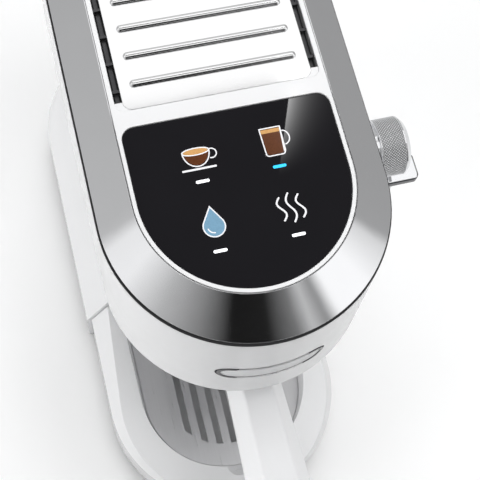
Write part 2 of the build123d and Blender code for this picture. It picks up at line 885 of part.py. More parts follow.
screen_bottom = collar_top - shower_thickness
with BuildPart() as shower_screw:
    with BuildSketch(Plane.XY.offset(screen_bottom - shower_screw_height)):
        with Locations((0, group_axis_y)):
            Circle(shower_screw_radius)
    extrude(amount=shower_screw_height)
    with BuildSketch(Plane.XY.offset(screen_bottom)):
        with Locations((0, group_axis_y)):
            Circle(shower_screw_radius / 2 - run_gap)
    extrude(amount=shower_thickness + group_block_height / 3)
save(shower_screw.part, "shower_screw")

# Filter holder: cup with a neck, two bayonet lugs, a stem and a stud for the handle
basket_rim_top = collar_top - gasket_drop - slide_gap
neck_top = basket_rim_top - basket_wall
lug_bottom = head_floor_top + ledge_height + slide_gap
holder_top = head_bottom - holder_head_gap
handle_start_y = stem_end_y - handle_collar_length
with BuildPart() as portafilter_body:
    with BuildSketch(Plane.XY.offset(holder_bottom)):
        with Locations((0, group_axis_y)):
            Circle(holder_radius)
    extrude(amount=holder_top - holder_bottom)
    fillet(portafilter_body.edges().group_by(Axis.Z)[0], holder_floor)
    with BuildSketch(Plane.XY.offset(holder_top)):
        with Locations((0, group_axis_y)):
            Circle(neck_radius)
    extrude(amount=neck_top - holder_top)
    with BuildSketch(Plane.XY.offset(lug_bottom)):
        with Locations((0, group_axis_y)):
            for half_turn in (0, 180):
                add(
                    sector_face(
                        neck_radius - ledge_gap,
                        lug_reach,
                        half_turn - lug_half_angle,
                        half_turn + lug_half_angle,
                    )
                )
    extrude(amount=lug_height)
    with BuildSketch(Plane.XZ.offset(-group_axis_y)):
        with Locations((0, handle_z)):
            Circle(stem_radius)
    extrude(amount=group_axis_y - stem_end_y)
    with BuildSketch(Plane.XZ.offset(-stem_end_y)):
        with Locations((0, handle_z)):
            Circle(stud_radius)
    extrude(amount=handle_collar_length + stud_length)
    with BuildSketch(Plane.XY.offset(drain_top)):
        with Locations((0, group_axis_y)):
            Circle(bowl_radius)
    extrude(amount=neck_top - drain_top, mode=Mode.SUBTRACT)
    with BuildSketch(Plane.XY.offset(holder_bottom + holder_floor)):
        with Locations((0, group_axis_y)):
            Circle(drain_radius)
    extrude(amount=drain_top - holder_bottom - holder_floor, mode=Mode.SUBTRACT)
    with BuildSketch(Plane.XY.offset(holder_bottom)):
        with Locations((0, group_axis_y)):
            Circle(drain_hole_radius)
    extrude(amount=holder_floor, mode=Mode.SUBTRACT)
save(portafilter_body.part, "portafilter_body")

basket_floor = basket_rim_top - basket_depth
with BuildPart() as filter_basket:
    with BuildSketch(Plane.XY.offset(basket_floor)):
        with Locations((0, group_axis_y)):
            Circle(basket_radius)
    extrude(amount=basket_rim_top - basket_floor)
    with BuildSketch(Plane.XY.offset(basket_rim_top - basket_wall)):
        with Locations((0, group_axis_y)):
            Circle(basket_rim_radius)
    extrude(amount=basket_wall)
    with BuildSketch(Plane.XY.offset(basket_floor + basket_wall)):
        with Locations((0, group_axis_y)):
            Circle(basket_radius - basket_wall)
    extrude(amount=basket_depth, mode=Mode.SUBTRACT)
save(filter_basket.part, "filter_basket")

# Twin spout: a round-ended bar with two tapered nozzles
with BuildPart() as portafilter_spout:
    with BuildSketch(Plane.XY.offset(holder_bottom - spout_bar_height)):
        with Locations((0, group_axis_y)):
            SlotOverall(spout_bar_length, spout_bar_width)
    extrude(amount=spout_bar_height)
    fillet(portafilter_spout.edges().group_by(Axis.Z)[-1], spout_bar_width / 4)
    nozzle_points = [(-nozzle_spread, group_axis_y), (nozzle_spread, group_axis_y)]
    for nozzle in nozzle_points:
        with BuildSketch(Plane.XY.offset(holder_bottom - spout_bar_height)):
            with Locations(nozzle):
                Circle(nozzle_radius)
        with BuildSketch(Plane.XY.offset(holder_bottom - spout_bar_height - nozzle_length)):
            with Locations(nozzle):
                Circle(nozzle_tip_radius)
        loft()
    with BuildSketch(Plane.XY.offset(holder_bottom - spout_bar_height - nozzle_length)):
        with Locations(*nozzle_points):
            Circle(nozzle_bore)
    extrude(amount=nozzle_length + spout_bar_height / 2, mode=Mode.SUBTRACT)
save(portafilter_spout.part, "portafilter_spout")

with BuildPart() as handle_collar:
    with BuildSketch(Plane.XZ.offset(-stem_end_y)):
        with Locations((0, handle_z)):
            Circle(handle_collar_radius)
            Circle(stud_radius + run_gap, mode=Mode.SUBTRACT)
    extrude(amount=handle_collar_length)
    collar_rims = handle_collar.edges().filter_by(GeomType.CIRCLE)
    chamfer(collar_rims.group_by(SortBy.RADIUS)[-1], handle_collar_length / 5)
save(handle_collar.part, "handle_collar")


# Handle: faceted bar with a flat top, wider towards its end
def handle_face(width, height):
    """Eight-sided handle section with soft corners, flat on top."""
    right = [(0.27, 0.5), (0.5, 0.06), (0.5, -0.16), (0.28, -0.5)]
    corners = [(x * width, z * height) for x, z in right]
    corners += [(-x * width, z * height) for x, z in reversed(right)]
    with BuildSketch() as face:
        with BuildLine():
            Polyline(*corners, close=True)
        make_face()
        fillet(face.vertices(), handle_edge)
    return face.sketch


handle_neck = handle_face(handle_neck_width, handle_neck_height)
handle_end = handle_face(handle_end_width, handle_end_height)
with BuildPart() as portafilter_handle:
    with BuildSketch(front_plane(handle_start_y, handle_z)):
        add(handle_neck)
    with BuildSketch(front_plane(handle_end_y, handle_z)):
        add(handle_end)
    loft(ruled=True)
    fillet(portafilter_handle.faces().sort_by(Axis.Y)[0].edges(), handle_end_round)
    with BuildSketch(Plane.XZ.offset(-handle_start_y)):
        with Locations((0, handle_z)):
            Circle(stud_radius + run_gap)
    extrude(amount=stud_length + slide_gap, mode=Mode.SUBTRACT)
save(portafilter_handle.part, "portafilter_handle")

# Drip tray: a bowl whose flared sides carry on the base's skirt, with a rim that falls to the front
grid_seat_radius = grid_radius + slide_gap
grid_level = tray_front_height - tray_slope_drop
grid_top = grid_level + fit_gap
grid_bottom = grid_top - grid_thickness
ledge_z = grid_bottom - slide_gap
tray_bowl_radius = grid_radius - grid_ledge
tray_bowl_floor = tray_bottom + tray_floor
seat_back_y = tray_back_y - tray_back_wall - tray_back_channel
bowl_back_y = seat_back_y - grid_ledge
hollow_back_y = tray_back_y - tray_back_wall
hollow_side = tray_radius - tray_wall


def above_rim_face(drop):
    """Side view of the space above the tray's sloping rim, or above a line that far below it."""
    with BuildSketch() as face:
        with BuildLine():
            Polyline(
                (front_y, tray_front_height - drop),
                (tray_back_y, tray_back_height - drop),
                (tray_back_y, base_top + bowl_wall),
                (front_y, base_top + bowl_wall),
                close=True,
            )
        make_face()
    return face.sketch


with BuildPart() as tray_hollow:
    with BuildSketch(Plane.XY.offset(tray_bottom)):
        add(arch_face(hollow_side, tray_axis_y, hollow_back_y))
    extrude(amount=base_band_top - tray_bottom)
    with BuildSketch(Plane.XY.offset(base_band_top)):
        add(arch_face(hollow_side, tray_axis_y, hollow_back_y))
    with BuildSketch(Plane.XY.offset(base_top)):
        add(arch_face(hollow_side - skirt_inset, tray_axis_y, hollow_back_y))
    loft(ruled=True)
    with BuildSketch(Plane.YZ):
        add(above_rim_face(bowl_wall))
    extrude(amount=tray_radius, both=True, mode=Mode.SUBTRACT)
    with BuildSketch(Plane.XY.offset(tray_bottom)):
        add(arch_face(tray_bowl_radius + bowl_wall, tray_axis_y, seat_back_y + fit_gap))
    extrude(amount=ledge_z - tray_bottom, mode=Mode.SUBTRACT)
    with BuildSketch(Plane.XY.offset(ledge_z - bowl_wall)):
        add(arch_face(grid_seat_radius + bowl_wall, tray_axis_y, tray_back_y))
    extrude(amount=grid_level - ledge_z + bowl_wall, mode=Mode.SUBTRACT)
    with BuildSketch(Plane.XY.offset(grid_level)):
        add(arch_face(grid_seat_radius + bowl_wall, tray_axis_y, tray_back_y))
    with BuildSketch(Plane.XY.offset(base_top)):
        add(arch_face(tray_rim_radius + bowl_wall, tray_axis_y, tray_back_y))
    loft(ruled=True, mode=Mode.SUBTRACT)

with BuildPart() as drip_tray:
    with BuildSketch(Plane.XY.offset(tray_bottom)):
        add(arch_face(tray_radius, tray_axis_y, tray_back_y))
    extrude(amount=base_band_top - tray_bottom)
    with BuildSketch(Plane.XY.offset(base_band_top)):
        add(arch_face(tray_radius, tray_axis_y, tray_back_y))
    with BuildSketch(Plane.XY.offset(base_top)):
        add(arch_face(tray_crown_radius, tray_axis_y, tray_back_y))
    loft(ruled=True)
    with BuildSketch(Plane.YZ):
        add(above_rim_face(0))
    extrude(amount=tray_radius, both=True, mode=Mode.SUBTRACT)
    with BuildSketch(Plane.XY.offset(grid_level)):
        add(arch_face(grid_seat_radius, tray_axis_y, seat_back_y))
    with BuildSketch(Plane.XY.offset(base_top)):
        add(arch_face(tray_rim_radius, tray_axis_y, seat_back_y + fit_gap))
    loft(ruled=True, mode=Mode.SUBTRACT)
    with BuildSketch(Plane.XY.offset(ledge_z)):
        add(arch_face(grid_seat_radius, tray_axis_y, seat_back_y))
    extrude(amount=grid_level - ledge_z, mode=Mode.SUBTRACT)
    with BuildSketch(Plane.XY.offset(tray_bowl_floor)):
        add(arch_face(tray_bowl_radius, tray_axis_y, bowl_back_y))
    extrude(amount=grid_level - tray_bowl_floor, mode=Mode.SUBTRACT)
    add(tray_hollow.part, mode=Mode.SUBTRACT)
    with BuildSketch(Plane.XY.offset(ledge_z)):
        with Locations((0, tray_axis_y - grid_seat_radius)):
            SlotOverall(notch_width, notch_reach)
    extrude(amount=base_top - ledge_z, mode=Mode.SUBTRACT)
save(drip_tray.part, "drip_tray")

# Drip grid: steel plate with long slots and a hole for the float
grid_field_radius = grid_radius - grid_border
grid_slot_pitch = 2 * grid_field_radius / (grid_slot_count + 1)
float_reach = tray_bowl_radius - float_disc_radius - float_wall_gap
float_x = float_reach * sin(radians(float_angle))
float_y = tray_axis_y - float_reach * cos(radians(float_angle))
float_hole_radius = float_stem_radius + float_hole_gap
with BuildPart() as drip_grid:
    with BuildSketch(Plane.XY.offset(grid_bottom)):
        add(arch_face(grid_radius, tray_axis_y, seat_back_y - slide_gap))
    extrude(amount=grid_thickness)
    with BuildSketch(Plane.XY.offset(grid_bottom)):
        with Locations((0, tray_axis_y)):
            with GridLocations(grid_slot_pitch, 0, grid_slot_count, 1):
                Rectangle(grid_slot_width, 2 * tray_radius)
        add(
            arch_face(grid_field_radius, tray_axis_y, seat_back_y - slide_gap - grid_border),
            mode=Mode.INTERSECT,
        )
        with Locations((float_x, float_y)):
            Circle(float_hole_radius + float_hole_border, mode=Mode.SUBTRACT)
            Circle(float_hole_radius)
    extrude(amount=grid_thickness, mode=Mode.SUBTRACT)
save(drip_grid.part, "drip_grid")

with BuildPart() as drip_float:
    with BuildSketch(Plane.XY.offset(tray_bowl_floor + slide_gap)):
        with Locations((float_x, float_y)):
            Circle(float_disc_radius)
    extrude(amount=float_disc_height)
    with BuildSketch(Plane.XY.offset(tray_bowl_floor + slide_gap)):
        with Locations((float_x, float_y)):
            Circle(float_stem_radius)
    extrude(amount=grid_top - tray_bowl_floor - slide_gap)
    fillet(drip_float.edges().group_by(Axis.Z)[-1], float_stem_radius / 3)
save(drip_float.part, "drip_float")

# Water tank: rounded open box with ears for the lid's hinge
tank_bottom = base_top + tank_lift_gap
tank_front_y = bay_wall_y + tank_bay_gap
tank_plan = round_face(half_column, tank_front_y, tank_rear_y, tank_rear_radius, tank_front_radius)
tank_hollow = round_face(
    half_column - tank_wall, tank_front_y + tank_wall, tank_rear_y - tank_wall,
    tank_rear_radius - tank_wall, tank_front_radius - tank_wall,
)
lid_bottom = tank_rim_z + seam
lid_rear_y = tank_rear_y + lid_overhang
hinge_y = lid_rear_y
hinge_z = lid_bottom + lid_knuckle_radius
ear_centre = lid_knuckle_width / 2 + slide_gap + lid_ear_width / 2
with BuildPart() as water_tank:
    with BuildSketch(Plane.XY.offset(tank_bottom)):
        add(tank_plan)
    extrude(amount=tank_rim_z - tank_bottom)
    with BuildSketch(Plane.XY.offset(tank_bottom + tank_floor)):
        add(tank_hollow)
    extrude(amount=tank_rim_z - tank_bottom - tank_floor, mode=Mode.SUBTRACT)
    with BuildSketch(Plane.XY.offset(tank_bottom)):
        with Locations((0, valve_y)):
            Circle(valve_radius + run_gap)
    extrude(amount=tank_floor, mode=Mode.SUBTRACT)
    for side in (-1, 1):
        with BuildSketch(Plane.YZ.offset(side * ear_centre - lid_ear_width / 2)):
            with Locations((hinge_y, hinge_z)):
                Circle(lid_knuckle_radius)
            with BuildLine():
                Polyline(
                    (tank_rear_y - tank_wall, hinge_z - lid_ear_drop),
                    (tank_rear_y, hinge_z - lid_ear_drop),
                    (hinge_y + lid_knuckle_radius, hinge_z),
                    (hinge_y - lid_knuckle_radius, hinge_z),
                    (tank_rear_y - tank_wall, tank_rim_z),
                    close=True,
                )
            make_face()
        extrude(amount=lid_ear_width)
    with BuildSketch(Plane.YZ.offset(-ear_centre - lid_ear_width)):
        with Locations((hinge_y, hinge_z)):
            Circle(lid_hinge_pin_radius + run_gap)
    extrude(amount=2 * ear_centre + 2 * lid_ear_width, mode=Mode.SUBTRACT)
save(water_tank.part, "water_tank")

with BuildPart() as tank_hinge_pin:
    pin_half = ear_centre + lid_ear_width / 2
    with BuildSketch(Plane.YZ.offset(-pin_half)):
        with Locations((hinge_y, hinge_z)):
            Circle(lid_hinge_pin_radius)
    extrude(amount=2 * pin_half)
save(tank_hinge_pin.part, "tank_hinge_pin")

# Tank lid: hollow bevelled cap that carries the trim's slope round the back
lid_half_high = panel_radius + panel_rim
lid_rear_high = lid_rear_y - (half_head - lid_half_high)
lid_low = round_face(half_head, tank_front_y, lid_rear_y, lid_round_low)
lid_high = round_face(lid_half_high, tank_front_y, lid_rear_high, lid_round_high)
lid_low_hollow = round_face(
    half_head - lid_wall, tank_front_y + lid_wall, lid_rear_y - lid_wall, lid_round_low - lid_wall
)
lid_high_hollow = round_face(
    lid_half_high - lid_wall, tank_front_y + lid_wall, lid_rear_high - lid_wall, lid_round_high - lid_wall
)
lid_shoulder = trim_shoulder
with BuildPart() as tank_lid:
    with BuildSketch(Plane.XY.offset(lid_bottom)):
        add(lid_low)
    extrude(amount=lid_shoulder - lid_bottom)
    with BuildSketch(Plane.XY.offset(lid_shoulder)):
        add(lid_low)
    with BuildSketch(Plane.XY.offset(machine_height)):
        add(lid_high)
    loft(ruled=True)
    with BuildSketch(Plane.XY.offset(lid_bottom)):
        add(lid_low_hollow)
    extrude(amount=lid_shoulder - lid_bottom, mode=Mode.SUBTRACT)
    with BuildSketch(Plane.XY.offset(lid_shoulder)):
        add(lid_low_hollow)
    with BuildSketch(Plane.XY.offset(machine_height - lid_wall)):
        add(lid_high_hollow)
    loft(ruled=True, mode=Mode.SUBTRACT)
    notch_half = ear_centre + lid_ear_width / 2 + slide_gap
    with BuildSketch(Plane.XY.offset(lid_bottom)):
        with Locations((0, hinge_y)):
            Rectangle(2 * notch_half, 2 * (lid_knuckle_radius + 2 * slide_gap))
    extrude(amount=2 * lid_knuckle_radius + slide_gap, mode=Mode.SUBTRACT)
    with BuildSketch(Plane.YZ.offset(-lid_knuckle_width / 2)):
        with Locations((hinge_y, hinge_z)):
            Circle(lid_knuckle_radius)
        with BuildLine():
            Polyline(
                (hinge_y, hinge_z - lid_knuckle_radius),
                (hinge_y, hinge_z + lid_knuckle_radius),
                (hinge_y - 3 * lid_knuckle_radius, hinge_z + lid_knuckle_radius),
                (hinge_y - 3 * lid_knuckle_radius, hinge_z),
                close=True,
            )
        make_face()
    extrude(amount=lid_knuckle_width)
    with BuildSketch(Plane.YZ.offset(-lid_knuckle_width / 2)):
        with Locations((hinge_y, hinge_z)):
            Circle(lid_hinge_pin_radius + run_gap)
    extrude(amount=lid_knuckle_width, mode=Mode.SUBTRACT)
save(tank_lid.part, "tank_lid")

# Tank valve in the tank's floor, and its seat in the base's deck
with BuildPart() as tank_valve:
    with BuildSketch(Plane.XY.offset(tank_bottom - valve_reach)):
        with Locations((0, valve_y)):
            Circle(valve_radius)
    extrude(amount=valve_reach + tank_floor)
    with BuildSketch(Plane.XY.offset(tank_bottom + tank_floor)):
        with Locations((0, valve_y)):
            Circle(valve_flange_radius)
    extrude(amount=valve_flange_height)
    chamfer(tank_valve.edges().group_by(Axis.Z)[0], valve_radius / 5)
save(tank_valve.part, "tank_valve")

with BuildPart() as tank_seat:
    with BuildSketch(Plane.XY.offset(base_top - seat_depth)):
        with Locations((0, valve_y)):
            Circle(seat_radius)
    extrude(amount=seat_depth)
    with BuildSketch(Plane.XY.offset(deck_bottom - seat_flange_height)):
        with Locations((0, valve_y)):
            Circle(seat_flange_radius)
    extrude(amount=seat_flange_height)
    with BuildSketch(Plane.XY.offset(base_top - seat_socket_depth)):
        with Locations((0, valve_y)):
            Circle(valve_radius + slide_gap)
    extrude(amount=seat_socket_depth, mode=Mode.SUBTRACT)
    with BuildSketch(Plane.XY.offset(base_top - seat_depth - nipple_length)):
        with Locations((0, valve_y)):
            Circle(nipple_radius)
    extrude(amount=nipple_length)
save(tank_seat.part, "tank_seat")

# Steam knob, its spindle, collar and valve, all about one axis across the machine
collar_face_x = half_head + collar_flange_length
knob_inner_x = collar_face_x + slide_gap
knob_body_x = knob_inner_x + knob_neck_length
knob_end_x = knob_body_x + knob_length
with BuildPart() as steam_knob:
    with BuildSketch(Plane.YZ.offset(knob_inner_x)):
        with Locations((knob_y, knob_z)):
            Circle(knob_neck_radius)
    extrude(amount=knob_neck_length)
    with BuildSketch(Plane.YZ.offset(knob_body_x)):
        with Locations((knob_y, knob_z)):
            Circle(knob_radius)
    extrude(amount=knob_length)
    chamfer(steam_knob.edges().group_by(Axis.X)[-1], knob_chamfer)
    with BuildSketch(Plane.YZ.offset(knob_end_x)):
        with Locations((knob_y, knob_z)):
            Circle(knob_dish_radius)
    extrude(amount=-knob_dish_depth, mode=Mode.SUBTRACT)
    with BuildSketch(Plane.YZ.offset(knob_inner_x)):
        with Locations((knob_y, knob_z)):
            Circle(spindle_radius + run_gap)
    extrude(amount=spindle_in_knob, mode=Mode.SUBTRACT)
save(steam_knob.part, "steam_knob")

valve_face_x = half_head - head_wall
with BuildPart() as knob_spindle:
    with BuildSketch(Plane.YZ.offset(valve_face_x - valve_stem_bore)):
        with Locations((knob_y, knob_z)):
            Circle(spindle_radius)
    extrude(amount=knob_inner_x + spindle_in_knob - valve_face_x + valve_stem_bore)
save(knob_spindle.part, "knob_spindle")

with BuildPart() as knob_collar:
    with BuildSketch(Plane.YZ.offset(half_head)):
        with Locations((knob_y, knob_z)):
            Circle(collar_flange_radius)
    extrude(amount=collar_flange_length)
    with BuildSketch(Plane.YZ.offset(valve_face_x)):
        with Locations((knob_y, knob_z)):
            Circle(collar_sleeve_radius)
    extrude(amount=head_wall)
    with BuildSketch(Plane.YZ.offset(valve_face_x)):
        with Locations((knob_y, knob_z)):
            Circle(spindle_radius + run_gap)
    extrude(amount=head_wall + collar_flange_length, mode=Mode.SUBTRACT)
save(knob_collar.part, "knob_collar")

with BuildPart() as steam_valve:
    with BuildSketch(Plane.YZ.offset(valve_face_x)):
        with Locations((knob_y, knob_z)):
            Circle(valve_body_radius)
    extrude(amount=-valve_body_length)
    with BuildSketch(Plane.YZ.offset(valve_face_x)):
        with Locations((knob_y, knob_z)):
            Circle(spindle_radius + run_gap)
    extrude(amount=-valve_stem_bore - slide_gap, mode=Mode.SUBTRACT)
save(steam_valve.part, "steam_valve")

# Steam wand: a flat hub with a clevis below it, a pin, and a tube with grip and tip
pivot_x = half_head + wand_pivot_from_wall
pivot_z = hub_top - wand_pivot_drop
clevis_half = wand_eye_width / 2 + slide_gap + cheek_width
with BuildPart() as wand_hub:
    with BuildSketch(Plane.XY.offset(hub_top - hub_plate)) as hub_plan:
        with Locations((half_head + hub_length / 2, hub_y)):
            Rectangle(hub_length, hub_width)
        fillet(hub_plan.vertices().group_by(Axis.X)[-1], hub_corner)
    extrude(amount=hub_plate)
    fillet(wand_hub.faces().sort_by(Axis.Z)[-1].edges().sort_by(Axis.X)[1:], hub_plate / 4)
    with BuildSketch(Plane.XZ.offset(-hub_y - clevis_half)):
        with BuildLine():
            Polyline(
                (half_head, hub_top - hub_plate),
                (half_head, pivot_z - cheek_overlap),
                (pivot_x, pivot_z - cheek_overlap),
                (pivot_x + cheek_overlap, pivot_z),
                (pivot_x + cheek_overlap, hub_top - hub_plate),
                close=True,
            )
        make_face()
    extrude(amount=2 * clevis_half)
    with BuildSketch(Plane.XZ.offset(-hub_y - wand_eye_width / 2 - slide_gap)):
        slot_left = pivot_x - wand_eye_radius - slide_gap
        slot_bottom = pivot_z - 2 * cheek_overlap
        slot_top = pivot_z + wand_eye_radius + slide_gap
        with Locations((slot_left + hub_length / 2, (slot_bottom + slot_top) / 2)):
            Rectangle(hub_length, slot_top - slot_bottom)
    extrude(amount=wand_eye_width + 2 * slide_gap, mode=Mode.SUBTRACT)
    with BuildSketch(Plane.XZ.offset(-hub_y - clevis_half)):
        with Locations((pivot_x, pivot_z)):
            Circle(wand_pin_radius + run_gap)
    extrude(amount=2 * clevis_half, mode=Mode.SUBTRACT)
save(wand_hub.part, "wand_hub")

with BuildPart() as wand_pin:
    with BuildSketch(Plane.XZ.offset(-hub_y - clevis_half)):
        with Locations((pivot_x, pivot_z)):
            Circle(wand_pin_radius)
    extrude(amount=2 * clevis_half)
save(wand_pin.part, "wand_pin")

with BuildPart() as wand_tube:
    with BuildSketch(Plane.XY.offset(pivot_z - wand_tube_length)):
        with Locations((pivot_x, hub_y)):
            Circle(wand_tube_radius)
    extrude(amount=wand_tube_length)
    with BuildSketch(Plane.XZ.offset(-hub_y - wand_eye_width / 2)):
        with Locations((pivot_x, pivot_z)):
            Circle(wand_eye_radius)
    extrude(amount=wand_eye_width)
    with BuildSketch(Plane.XZ.offset(-hub_y - wand_eye_width)):
        with Locations((pivot_x, pivot_z)):
            Circle(wand_pin_radius + run_gap)
    extrude(amount=2 * wand_eye_width, mode=Mode.SUBTRACT)
save(wand_tube.part, "wand_tube")

grip_top = pivot_z - wand_grip_start
with BuildPart() as wand_grip:
    with BuildSketch(Plane.XY.offset(grip_top - wand_grip_length)):
        with Locations((pivot_x, hub_y)):
            Circle(wand_grip_radius)
    extrude(amount=wand_grip_length)
    fillet(wand_grip.edges().filter_by(GeomType.CIRCLE), wand_grip_radius / 4)
    with BuildSketch(Plane.XY.offset(grip_top - wand_grip_length)):
        with Locations((pivot_x, hub_y)):
            Circle(wand_tube_radius + run_gap)
    extrude(amount=wand_grip_length, mode=Mode.SUBTRACT)
save(wand_grip.part, "wand_grip")

tip_top = pivot_z - wand_tube_length + wand_tip_overlap
with BuildPart() as wand_tip:
    with BuildSketch(Plane.XY.offset(tip_top - wand_tip_length)):
        with Locations((pivot_x, hub_y)):
            Circle(wand_tip_radius)
    extrude(amount=wand_tip_length)
    fillet(wand_tip.edges().group_by(Axis.Z)[0], wand_tip_radius * 0.6)
    with BuildSketch(Plane.XY.offset(tip_top - wand_tip_overlap)):
        with Locations((pivot_x, hub_y)):
            Circle(wand_tube_radius + run_gap)
    extrude(amount=wand_tip_overlap, mode=Mode.SUBTRACT)
save(wand_tip.part, "wand_tip")

# Pump bracket on the deck, with the pump, its rubber mounts and the power board
with BuildPart() as pump_bracket:
    with BuildSketch(Plane.XY.offset(base_top)):
        with Locations((bracket_x, bracket_y + bracket_thickness / 2)):
            Rectangle(2 * bracket_half_width, bracket_thickness)
    extrude(amount=bracket_height)
    with BuildSketch(Plane.XY.offset(base_top)):
        with Locations((bracket_x, bracket_y + bracket_foot / 2)):
            Rectangle(2 * bracket_half_width, bracket_foot)
    extrude(amount=bracket_thickness)
save(pump_bracket.part, "pump_bracket")

pump_top = pump_bottom + pump_length
with BuildPart() as pump:
    with BuildSketch(Plane.XY.offset(pump_bottom)):
        with Locations((bracket_x, pump_y)):
            Circle(pump_radius)
    extrude(amount=pump_length)
    with BuildSketch(Plane.XY.offset((pump_bottom + pump_top - pump_coil_length) / 2)):
        with Locations((bracket_x, pump_y)):
            RectangleRounded(pump_coil_width, pump_coil_depth, pump_nipple_radius)
    extrude(amount=pump_coil_length)
    with BuildSketch(Plane.XY.offset(pump_bottom - pump_nipple_length)):
        with Locations((bracket_x, pump_y)):
            Circle(pump_nipple_radius)
    extrude(amount=pump_length + 2 * pump_nipple_length)
save(pump.part, "pump")

mount_levels = (pump_bottom + slide_gap, pump_top - slide_gap - pump_mount_height)
with BuildPart() as pump_mounts:
    for level in mount_levels:
        with BuildSketch(Plane.XY.offset(level)):
            with Locations((bracket_x, (pump_y - pump_mount_front + bracket_y) / 2)):
                Rectangle(2 * pump_mount_half_width, bracket_y - pump_y + pump_mount_front)
            with Locations((bracket_x, pump_y)):
                Circle(pump_radius + run_gap, mode=Mode.SUBTRACT)
        extrude(amount=pump_mount_height)
save(pump_mounts.part, "pump_mounts")

board_face_y = bracket_y + bracket_thickness + power_board_standoff
with BuildPart() as power_board:
    with BuildSketch(Plane.XZ.offset(-board_face_y - board_thickness)):
        with Locations((bracket_x, power_board_bottom + power_board_height / 2)):
            Rectangle(power_board_width, power_board_height)
    extrude(amount=board_thickness)
    with BuildSketch(Plane.XZ.offset(-board_face_y)):
        with Locations((bracket_x, power_board_bottom + power_board_height / 2)):
            with GridLocations(
                power_board_width - 2 * standoff_inset, power_board_height - 2 * standoff_inset, 2, 2
            ):
                Circle(standoff_radius)
    extrude(amount=power_board_standoff)
    with BuildSketch(Plane.XZ.offset(-board_face_y - board_thickness)):
        with Locations((bracket_x, power_board_bottom + power_board_height / 2)):
            with GridLocations(power_board_width / 2, power_board_height / 3, 2, 2):
                Rectangle(power_board_width / 3, power_board_height / 5)
    extrude(amount=-power_board_standoff * 2)
save(power_board.part, "power_board")

# Flow meter on the deck
with BuildPart() as flow_meter:
    with BuildSketch(Plane.XY.offset(base_top)):
        with Locations((meter_x, meter_y)):
            Circle(meter_radius)
    extrude(amount=meter_height)
    chamfer(flow_meter.edges().group_by(Axis.Z)[-1], meter_radius / 10)
save(flow_meter.part, "flow_meter")

# Thermoblock on the group head, with cooling grooves on its top
block_top = block_bottom + block_height
block_rear_y = group_axis_y + block_depth / 2
with BuildPart() as thermoblock:
    with BuildSketch(Plane.XY.offset(block_bottom)):
        with Locations((0, group_axis_y)):
            RectangleRounded(block_width, block_depth, pipe_bend)
    extrude(amount=block_height)
    with BuildSketch(Plane.XY.offset(block_top - block_fin_depth)):
        with Locations((0, group_axis_y)):
            with GridLocations(block_width / block_fin_count, 0, block_fin_count, 1):
                Rectangle(block_fin_width, block_depth)
    extrude(amount=block_fin_depth, mode=Mode.SUBTRACT)
save(thermoblock.part, "thermoblock")

# Hoses and pipes: tank seat, flow meter, pump, thermoblock, steam valve and wand hub in turn
seat_outlet_z = base_top - seat_depth - nipple_length
low_run_z = (housing_bottom + seat_outlet_z) / 2
tube(
    "suction_hose",
    [
        (0, valve_y, seat_outlet_z),
        (0, valve_y, low_run_z),
        (0, meter_y, low_run_z),
        (meter_x, meter_y, low_run_z),
        (meter_x, meter_y, base_top),
    ],
    hose_radius,
    hose_bend,
)
meter_top = base_top + meter_height
pump_inlet_z = pump_bottom - pump_nipple_length
hose_low_z = pump_inlet_z - hose_bend - pipe_radius
tube(
    "pump_hose",
    [
        (meter_x, meter_y, meter_top),
        (meter_x, meter_y, meter_top + 2 * hose_bend),
        (meter_x, pump_y, meter_top + 2 * hose_bend),
        (meter_x, pump_y, hose_low_z),
        (bracket_x, pump_y, hose_low_z),
        (bracket_x, pump_y, pump_inlet_z),
    ],
    hose_radius,
    hose_bend,
)
port_z = block_bottom + block_height / 3
tube(
    "pressure_hose",
    [
        (bracket_x, pump_y, pump_top + pump_nipple_length),
        (bracket_x, pump_y, port_z),
        (bracket_x, block_rear_y, port_z),
    ],
    hose_radius,
    hose_bend,
)
steam_x = valve_face_x - valve_body_length / 2
steam_port_z = block_bottom + block_height / 2
steam_port_y = knob_y - 3 * pipe_bend
tube(
    "steam_pipe",
    [
        (block_width / 2, steam_port_y, steam_port_z),
        (steam_x, steam_port_y, steam_port_z),
        (steam_x, knob_y, steam_port_z),
        (steam_x, knob_y, knob_z + valve_body_radius),
    ],
    pipe_radius,
    pipe_bend / 2,
)
tube(
    "wand_pipe",
    [
        (steam_x, knob_y, knob_z - valve_body_radius),
        (steam_x, knob_y, hub_port_z),
        (half_head, knob_y, hub_port_z),
    ],
    pipe_radius,
    pipe_bend,
)
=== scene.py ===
"""Dressed scene of a slim upright coffee machine: finishes, panel prints, knurled knob and studio."""

import logging
import math
from dataclasses import dataclass, field
from enum import Enum, IntEnum
from functools import cached_property
from typing import Callable, ClassVar, Dict, List, Sequence, Tuple

import bmesh
import bpy
from mathutils import Matrix, Vector


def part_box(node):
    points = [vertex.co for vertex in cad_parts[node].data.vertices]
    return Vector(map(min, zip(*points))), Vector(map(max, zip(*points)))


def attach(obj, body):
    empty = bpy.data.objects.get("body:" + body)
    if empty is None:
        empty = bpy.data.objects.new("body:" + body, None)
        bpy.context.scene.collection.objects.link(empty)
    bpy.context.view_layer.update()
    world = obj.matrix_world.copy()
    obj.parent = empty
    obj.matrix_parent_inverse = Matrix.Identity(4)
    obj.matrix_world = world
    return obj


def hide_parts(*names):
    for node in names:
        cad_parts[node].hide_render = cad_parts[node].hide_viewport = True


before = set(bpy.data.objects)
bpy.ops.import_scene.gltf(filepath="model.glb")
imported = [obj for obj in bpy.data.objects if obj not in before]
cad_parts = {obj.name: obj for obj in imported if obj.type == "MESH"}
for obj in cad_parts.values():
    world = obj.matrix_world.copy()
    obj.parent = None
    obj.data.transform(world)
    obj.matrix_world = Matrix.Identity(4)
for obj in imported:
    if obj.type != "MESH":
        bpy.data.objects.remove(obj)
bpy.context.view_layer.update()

log = logging.getLogger("coffee_machine")

